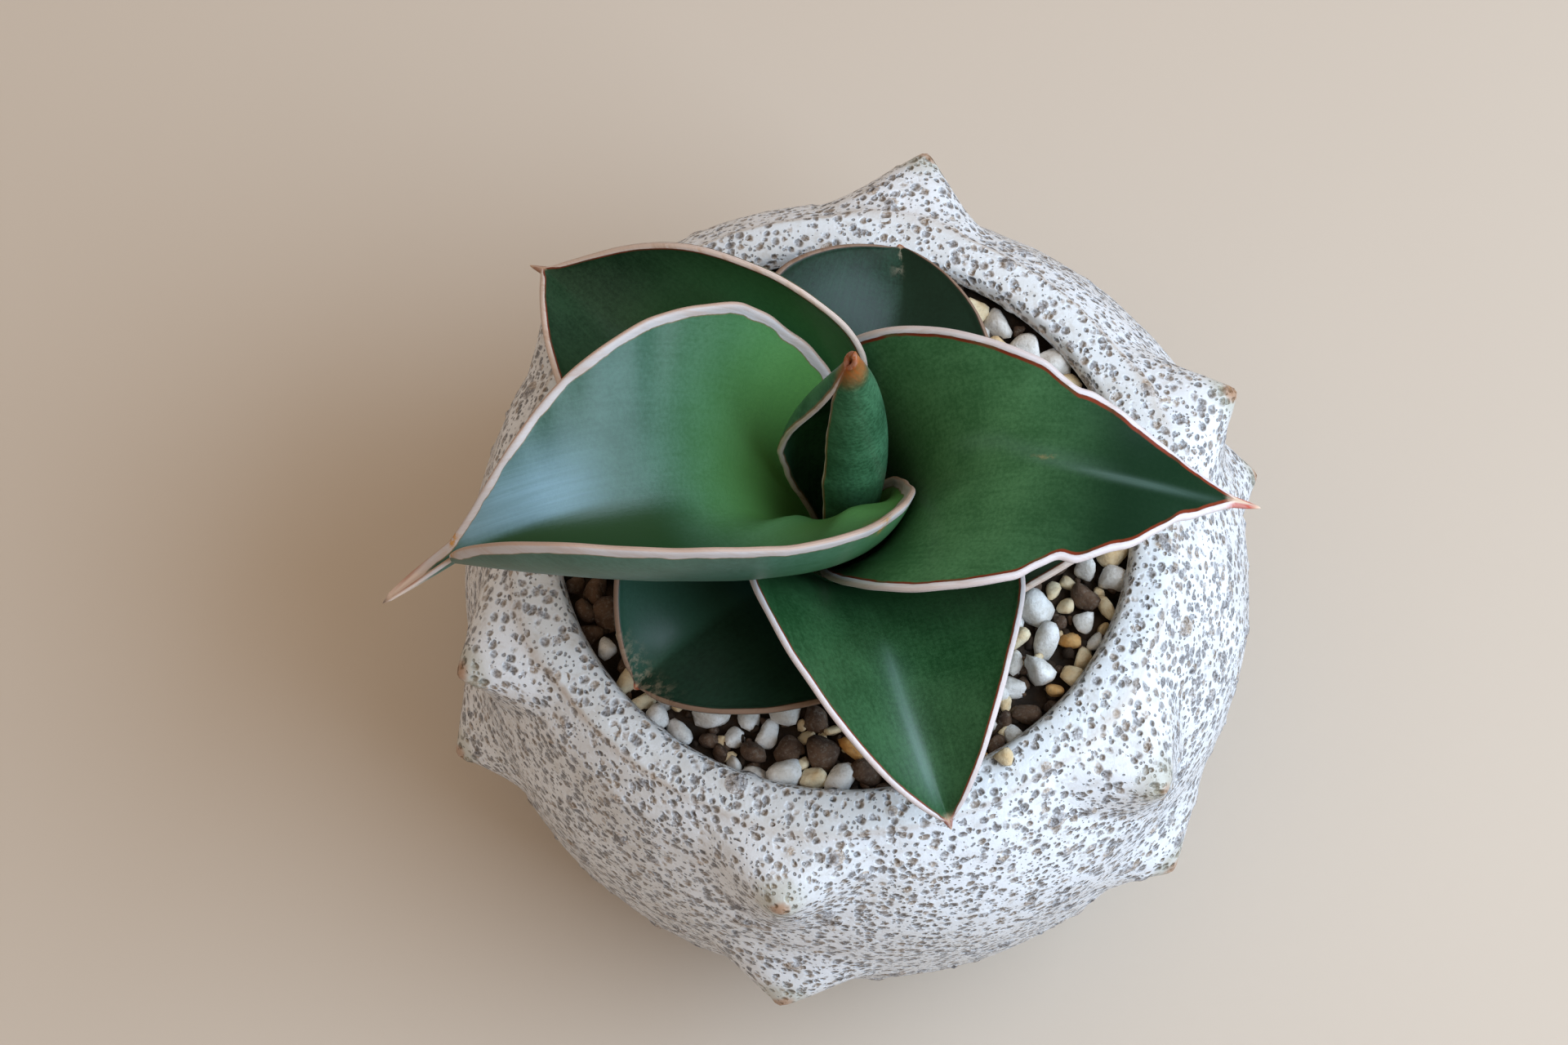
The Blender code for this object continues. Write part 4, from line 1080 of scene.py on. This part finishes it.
def stones(name, centres, radii, seed, shape, material):
    """Many stones in one piece. Each is a ball cut by ten random planes, blended softly into each other.

    Along a direction the stone's radius is the sum, over its planes, of the direction's share of the
    plane's normal over the plane's distance, raised to the bluntness, and brought back by its root.
    """
    random = np.random.default_rng(seed)
    ball, quads, fans = shape
    count = len(centres)
    planes = random.normal(size=(count, STONE_PLANES, 3))
    planes = planes / np.linalg.norm(planes, axis=2, keepdims=True)
    distances = random.uniform(0.72, 1.0, size=(count, STONE_PLANES))
    facing = np.maximum(np.einsum("vk,npk->nvp", ball, planes), 0.0) / distances[:, None]
    reach = (facing**STONE_BLUNTNESS).sum(axis=2) ** (1 / STONE_BLUNTNESS)
    reach = 1 / np.maximum(reach, 0.75)
    stretch = random.uniform(STONE_FLATNESS, 1.0, size=(count, 3))
    stretch[:, 0] = 1.0
    local = ball[None] * reach[..., None] * stretch[:, None]
    turn = random.normal(size=(count, 4))
    matrices = turn_matrices(turn / np.linalg.norm(turn, axis=1, keepdims=True))
    points = np.einsum("nij,nvj->nvi", matrices, local) * np.asarray(radii)[:, None, None]
    points = points + np.asarray(centres)[:, None]
    outward = local / np.maximum(np.linalg.norm(local, axis=2, keepdims=True), 1e-9)
    outward = np.einsum("nij,nvj->nvi", matrices, outward)
    points = points + outward * STONE_ROUGHNESS * lumps(points, 0.8, seed)[..., None]
    step = (np.arange(count) * len(ball))[:, None, None]
    faces = (quads[None] + step).reshape(-1, 4).tolist() + (fans[None] + step).reshape(-1, 3).tolist()
    new_piece(name, points.reshape(-1, 3), faces, material)


def packed_places(kinds, seed):
    """Places of stones side by side on the mix, as x, y and radius, with the number of each stone's kind.

    Stones start at random and push their overlapping neighbours aside until they lie close together.
    """
    random = np.random.default_rng(seed)
    radii = np.concatenate([random.uniform(low, high, count) for count, low, high in kinds])
    number = np.concatenate([np.full(kind[0], index) for index, kind in enumerate(kinds)])
    count = len(radii)
    angle = random.uniform(0.0, 2 * pi, count)
    distance = np.sqrt(random.uniform(PIT_MOUTH_RADIUS**2, OPENING_RADIUS**2, count))
    places = np.stack([distance * np.cos(angle), distance * np.sin(angle)], axis=1)
    room = PACKING * (radii[:, None] + radii[None])
    for _ in range(PACKING_ROUNDS):
        offset = places[:, None] - places[None]
        gap = np.linalg.norm(offset, axis=2) + np.eye(count) * 99
        push = np.clip(room - gap, 0.0, None) / gap
        places = places + PUSH * np.einsum("ij,ijk->ik", push, offset)
        distance = np.linalg.norm(places, axis=1)
        wanted = np.clip(distance, PIT_MOUTH_RADIUS - 3 + radii, OPENING_RADIUS + 0.4 - radii)
        places = places * (wanted / distance)[:, None]
    return places, radii, number


def spread_places(count, radii, seed):
    """Even places on the mix by the golden angle, as x, y and radius."""
    random = np.random.default_rng(seed)
    share = (np.arange(count) + 0.5) / count
    distance = np.sqrt(PIT_MOUTH_RADIUS**2 + share * ((OPENING_RADIUS - 0.5) ** 2 - PIT_MOUTH_RADIUS**2))
    angle = np.arange(count) * pi * (3 - 5**0.5) + random.uniform(-0.1, 0.1, count)
    places = np.stack([distance * np.cos(angle), distance * np.sin(angle)], axis=1)
    return places, random.uniform(*radii, count)


def clear_of_leaves(places, radii, height, trees):
    """Centres of the stones at their height on the mix, and which of them stay clear of every leaf."""
    centres = np.column_stack([places, height])
    spots = [Vector(centre) for centre in centres * MM]
    gaps = np.array([min(tree.find_nearest(spot)[3] for tree in trees) for spot in spots]) / MM
    return centres, gaps > radii + LEAF_GAP


# Studio

def make_floor():
    """A flat square at the height of the pot's foot, in two soft pale tones."""
    material, nodes, shader = new_material("studio_floor", Roughness=0.9, Specular_IOR_Level=0.2)
    soft = nodes.noise(nodes.add("TexCoord").outputs["Object"], 6.0, 2.0)
    nodes.tree.links.new(nodes.mix(soft, *FLOOR_COLOURS), shader.inputs["Base Color"])
    mesh = bpy.data.meshes.new("studio_floor")
    half = FLOOR_HALF_SIDE
    corners = [(-half, -half, 0.0), (half, -half, 0.0), (half, half, 0.0), (-half, half, 0.0)]
    mesh.from_pydata(corners, [], [(0, 1, 2, 3)])
    mesh.materials.append(material)
    floor = bpy.data.objects.new("studio_floor", mesh)
    bpy.context.scene.collection.objects.link(floor)


def make_light(name, position, size, power, colour):
    """A square area light that faces the pot."""
    data = bpy.data.lights.new(name, "AREA")
    data.shape = "SQUARE"
    data.size = size
    data.energy = power
    data.color = colour
    light = bpy.data.objects.new(name, data)
    light.location = position
    light.rotation_euler = (Vector(LIGHT_TARGET) - Vector(position)).to_track_quat("-Z", "Y").to_euler()
    bpy.context.scene.collection.objects.link(light)
    return light


def make_studio():
    """The floor, a cool window light, a large warm room light above, and a dim background."""
    make_floor()
    make_light("window", *WINDOW_LIGHT)
    make_light("room", *ROOM_LIGHT).visible_glossy = False
    world = bpy.data.worlds.new("studio")
    world.use_nodes = True
    background = world.node_tree.nodes["Background"]
    background.inputs["Color"].default_value = BACKGROUND_COLOUR
    background.inputs["Strength"].default_value = BACKGROUND_STRENGTH
    bpy.context.scene.world = world
    bpy.context.scene.view_settings.view_transform = "Standard"
    camera_data = bpy.data.cameras.new("camera")
    camera_data.sensor_width = 36.0
    camera_data.lens = CAMERA_LENS
    camera_data.clip_start = 0.01
    camera = bpy.data.objects.new("camera", camera_data)
    elevation = radians(CAMERA_ELEVATION)
    toward = np.array([0.0, np.cos(elevation), -np.sin(elevation)])
    camera.location = (np.array(CAMERA_TARGET) - CAMERA_DISTANCE * toward) * MM
    camera.rotation_euler = (pi / 2 - elevation, 0.0, 0.0)
    bpy.context.scene.collection.objects.link(camera)
    bpy.context.scene.camera = camera


# Masks of the leaves, from 0 to about 1. Along goes from 0 at the root to 1 where the spine starts, signed
# from -1 at the left margin to 1 at the right one. Across and edge are in millimetres: from the midrib,
# and from the nearer margin.

def nowhere(along, across, edge=0.0):
    """Zero all over the leaf."""
    return np.zeros_like(along)


def left_glow(along, signed):
    """Partly painted light: the left leaf is light green towards its base, most of all on its right half,
    from paler young tissue and painted light shining through the blade.
    """
    return smoothstep(0.66, 0.14, along) * (1.0 - 0.25 * bell(signed, -0.3, 0.2))


def left_shade(along, signed):
    """Painted shade: the left leaf is darker on its left half, from near the midrib to the margin."""
    return smoothstep(0.1, -0.08, signed) * smoothstep(0.42, 0.62, along)


def right_shade(along, signed):
    """Painted shade: the right leaf is darkest close to its base and towards its point."""
    return smoothstep(0.34, 0.15, along) * 0.7 + smoothstep(0.5, 0.78, along) * 0.95


def base_glow(along, signed):
    """Painted light: a leaf is a little lighter towards its base, lifting the shade that falls there."""
    return smoothstep(0.85, 0.45, along) * 0.75


def back_shade(along, signed):
    """Painted shade: the right half of the back leaf, beyond its fold, is darker than its left half."""
    return smoothstep(-0.045, 0.035, signed) * 0.8


def blunt_glow(along, signed):
    """Painted light: the blunt leaf at the front left is lighter on its right half, the lit side of its fold.
    """
    return 0.2 + 0.6 * smoothstep(-0.05, 0.05, signed)


def centre_glow(along, signed):
    """The right half of the centre leaf is lighter towards its margin and its point."""
    return 0.25 * smoothstep(0.2, 0.8, along) * smoothstep(0.0, 0.6, signed)


def point_dry(along, signed, edge):
    """Dry flecks near the point of the blade."""
    return smoothstep(0.84, 0.97, along) * smoothstep(12.0, 5.0, edge) * 0.6


def fold_dry(along, signed, edge):
    """Dry flecks beside the fold, near the point of the back leaf."""
    return smoothstep(0.82, 0.95, along) * bell(signed, -0.06, 0.09) * 0.75


def right_painted_highlight(along, across):
    """Painted highlight of the right leaf, in pale threads: a soft bundle near its middle, and a line from
    there to its point.
    """
    wave = np.sin(pi * np.clip((along - 0.52) / 0.5, 0.0, 1.0)) ** 0.8
    away = across - (3.3 * wave - 1.5 * smoothstep(0.58, 0.4, along))
    line = bell(away, 0.0, 0.7) * smoothstep(0.55, 0.64, along) * smoothstep(1.0, 0.93, along)
    bundle = bell(away, -1.3, 1.5) * smoothstep(0.36, 0.48, along) * smoothstep(0.8, 0.6, along)
    strength = 0.12 + 0.26 * smoothstep(0.62, 0.74, along) - 0.22 * smoothstep(0.8, 0.94, along)
    return strength * line + 0.15 * bundle


def front_painted_highlight(along, across):
    """A painted highlight: a soft pale line beside the midrib of the front leaf."""
    ends = smoothstep(0.46, 0.6, along) * smoothstep(0.98, 0.86, along)
    return ends * (0.32 * bell(across, 1.5, 1.0) + 0.14 * bell(across, 1.5, 2.8))


def left_sheen(along, across):
    """A painted bluish reflection on the left leaf above its midrib, towards its beak."""
    beside = smoothstep(-0.5, 2.0, across) * bell(np.maximum(across, 4.0), 4.0, 7.0)
    return 0.8 * beside * smoothstep(0.64, 0.82, along) * smoothstep(1.01, 0.95, along)


def right_scar(along, signed, edge):
    """A short thin scar along the right leaf, beside its middle."""
    breadth = smoothstep(0.02, 0.006, np.abs(signed - 0.05))
    return 0.45 * breadth * smoothstep(0.035, 0.015, np.abs(along - 0.61))


def left_rust(along, signed, edge):
    """An orange spot on the hooked margin of the left leaf, and brown where its margins meet at the beak."""
    spot = bell(along, 0.37, 0.022) * smoothstep(-0.9, -0.96, signed)
    return spot + 1.5 * bell(along, 0.99, 0.012) * smoothstep(2.0, 0.8, edge)


# Pieces of the leaves: rows, columns of half a blade, skin, and masks of painted glow, painted shade, dry
# spots and painted highlights
LEAF_PLANS = {
    "leaf_centre": (130, 22, "centre", centre_glow, nowhere, nowhere, nowhere),
    "leaf_left": (160, 30, "left", left_glow, left_shade, left_rust, left_sheen),
    "leaf_right": (150, 34, "right", nowhere, right_shade, right_scar, right_painted_highlight),
    "leaf_back_left": (120, 26, "dusk", base_glow, nowhere, nowhere, nowhere),
    "leaf_front": (120, 26, "front", nowhere, nowhere, nowhere, front_painted_highlight),
    "leaf_back": (80, 24, "dull", nowhere, back_shade, fold_dry, nowhere),
    "leaf_front_left": (80, 24, "dull", blunt_glow, nowhere, point_dry, nowhere),
    "leaf_right_low": (70, 20, "dusk", nowhere, nowhere, nowhere, nowhere),
}


# Making

def make_leaves(group):
    """The eight leaves, each in its own skin and with its own masks."""
    skins = {
        kind: leaf_material("leaf_" + kind + "_skin", group, gloss, values)
        for kind, (gloss, values) in LEAF_SKINS.items()
    }
    return [
        leaf_piece(name, rows, count, skins[kind], *masks)
        for name, (rows, count, kind, *masks) in LEAF_PLANS.items()
    ]


def make_mix(group, leaves):
    """The bed of mix, large stones packed side by side on it, crumbs between them, and a stray grain."""
    soil = grain_material("dark_soil", group, DARK_SOIL)
    materials = {
        name: grain_material(name, group, dict(Light=light, Dark=dark, Pores=pores))
        for name, (*_, light, dark, pores) in GRAINS.items()
    }
    make_soil(soil)
    graph = bpy.context.evaluated_depsgraph_get()
    trees = [BVHTree.FromObject(leaf, graph) for leaf in leaves]
    large = grain_shape(*LARGE_STONE_STEPS)
    small = grain_shape(*SMALL_STONE_STEPS)
    places, radii, number = packed_places([kind[:3] for kind in GRAINS.values()], 41)
    chance = np.random.default_rng(42).uniform(*LIFT_BY_CHANCE, len(radii))
    height = MIX_HEIGHT + STONE_LIFT * radii + chance
    centres, clear = clear_of_leaves(places, radii, height, trees)
    for index, (name, material) in enumerate(materials.items()):
        chosen = clear & (number == index)
        stones(name, centres[chosen], radii[chosen], 43 + index, large, material)
    for index, (name, material, one_in) in enumerate((
        ("soil_crumbs", soil, 1),
        ("brown_crumbs", materials["brown_lumps"], 1),
        ("fine_grit", materials["cream_grains"], 3),
    )):
        places, radii = spread_places(CRUMB_COUNT, CRUMB_RADII, 51 + index)
        centres, clear = clear_of_leaves(places, radii, np.full(CRUMB_COUNT, MIX_HEIGHT + CRUMB_LIFT), trees)
        chosen = clear & (np.arange(CRUMB_COUNT) % one_in == 0)
        stones(name, centres[chosen], radii[chosen], 61 + index, small, material)
    stones("stray_grain", [STRAY_GRAIN], [STRAY_RADIUS], 54, large, materials["cream_grains"])


def build():
    """Everything in its order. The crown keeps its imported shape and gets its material."""
    make_studio()
    make_pot(dressed_material("speckled_glaze", glaze_group(), {}, GLAZE_BUMP, Specular_IOR_Level=0.5))
    leaves = make_leaves(leaf_skin_group())
    grains = grain_group()
    make_mix(grains, leaves)
    crown = frame["nodes"]["crown"]
    crown.data.materials.clear()
    crown.data.materials.append(grain_material("crown_stem", grains, CROWN_STEM))


build()
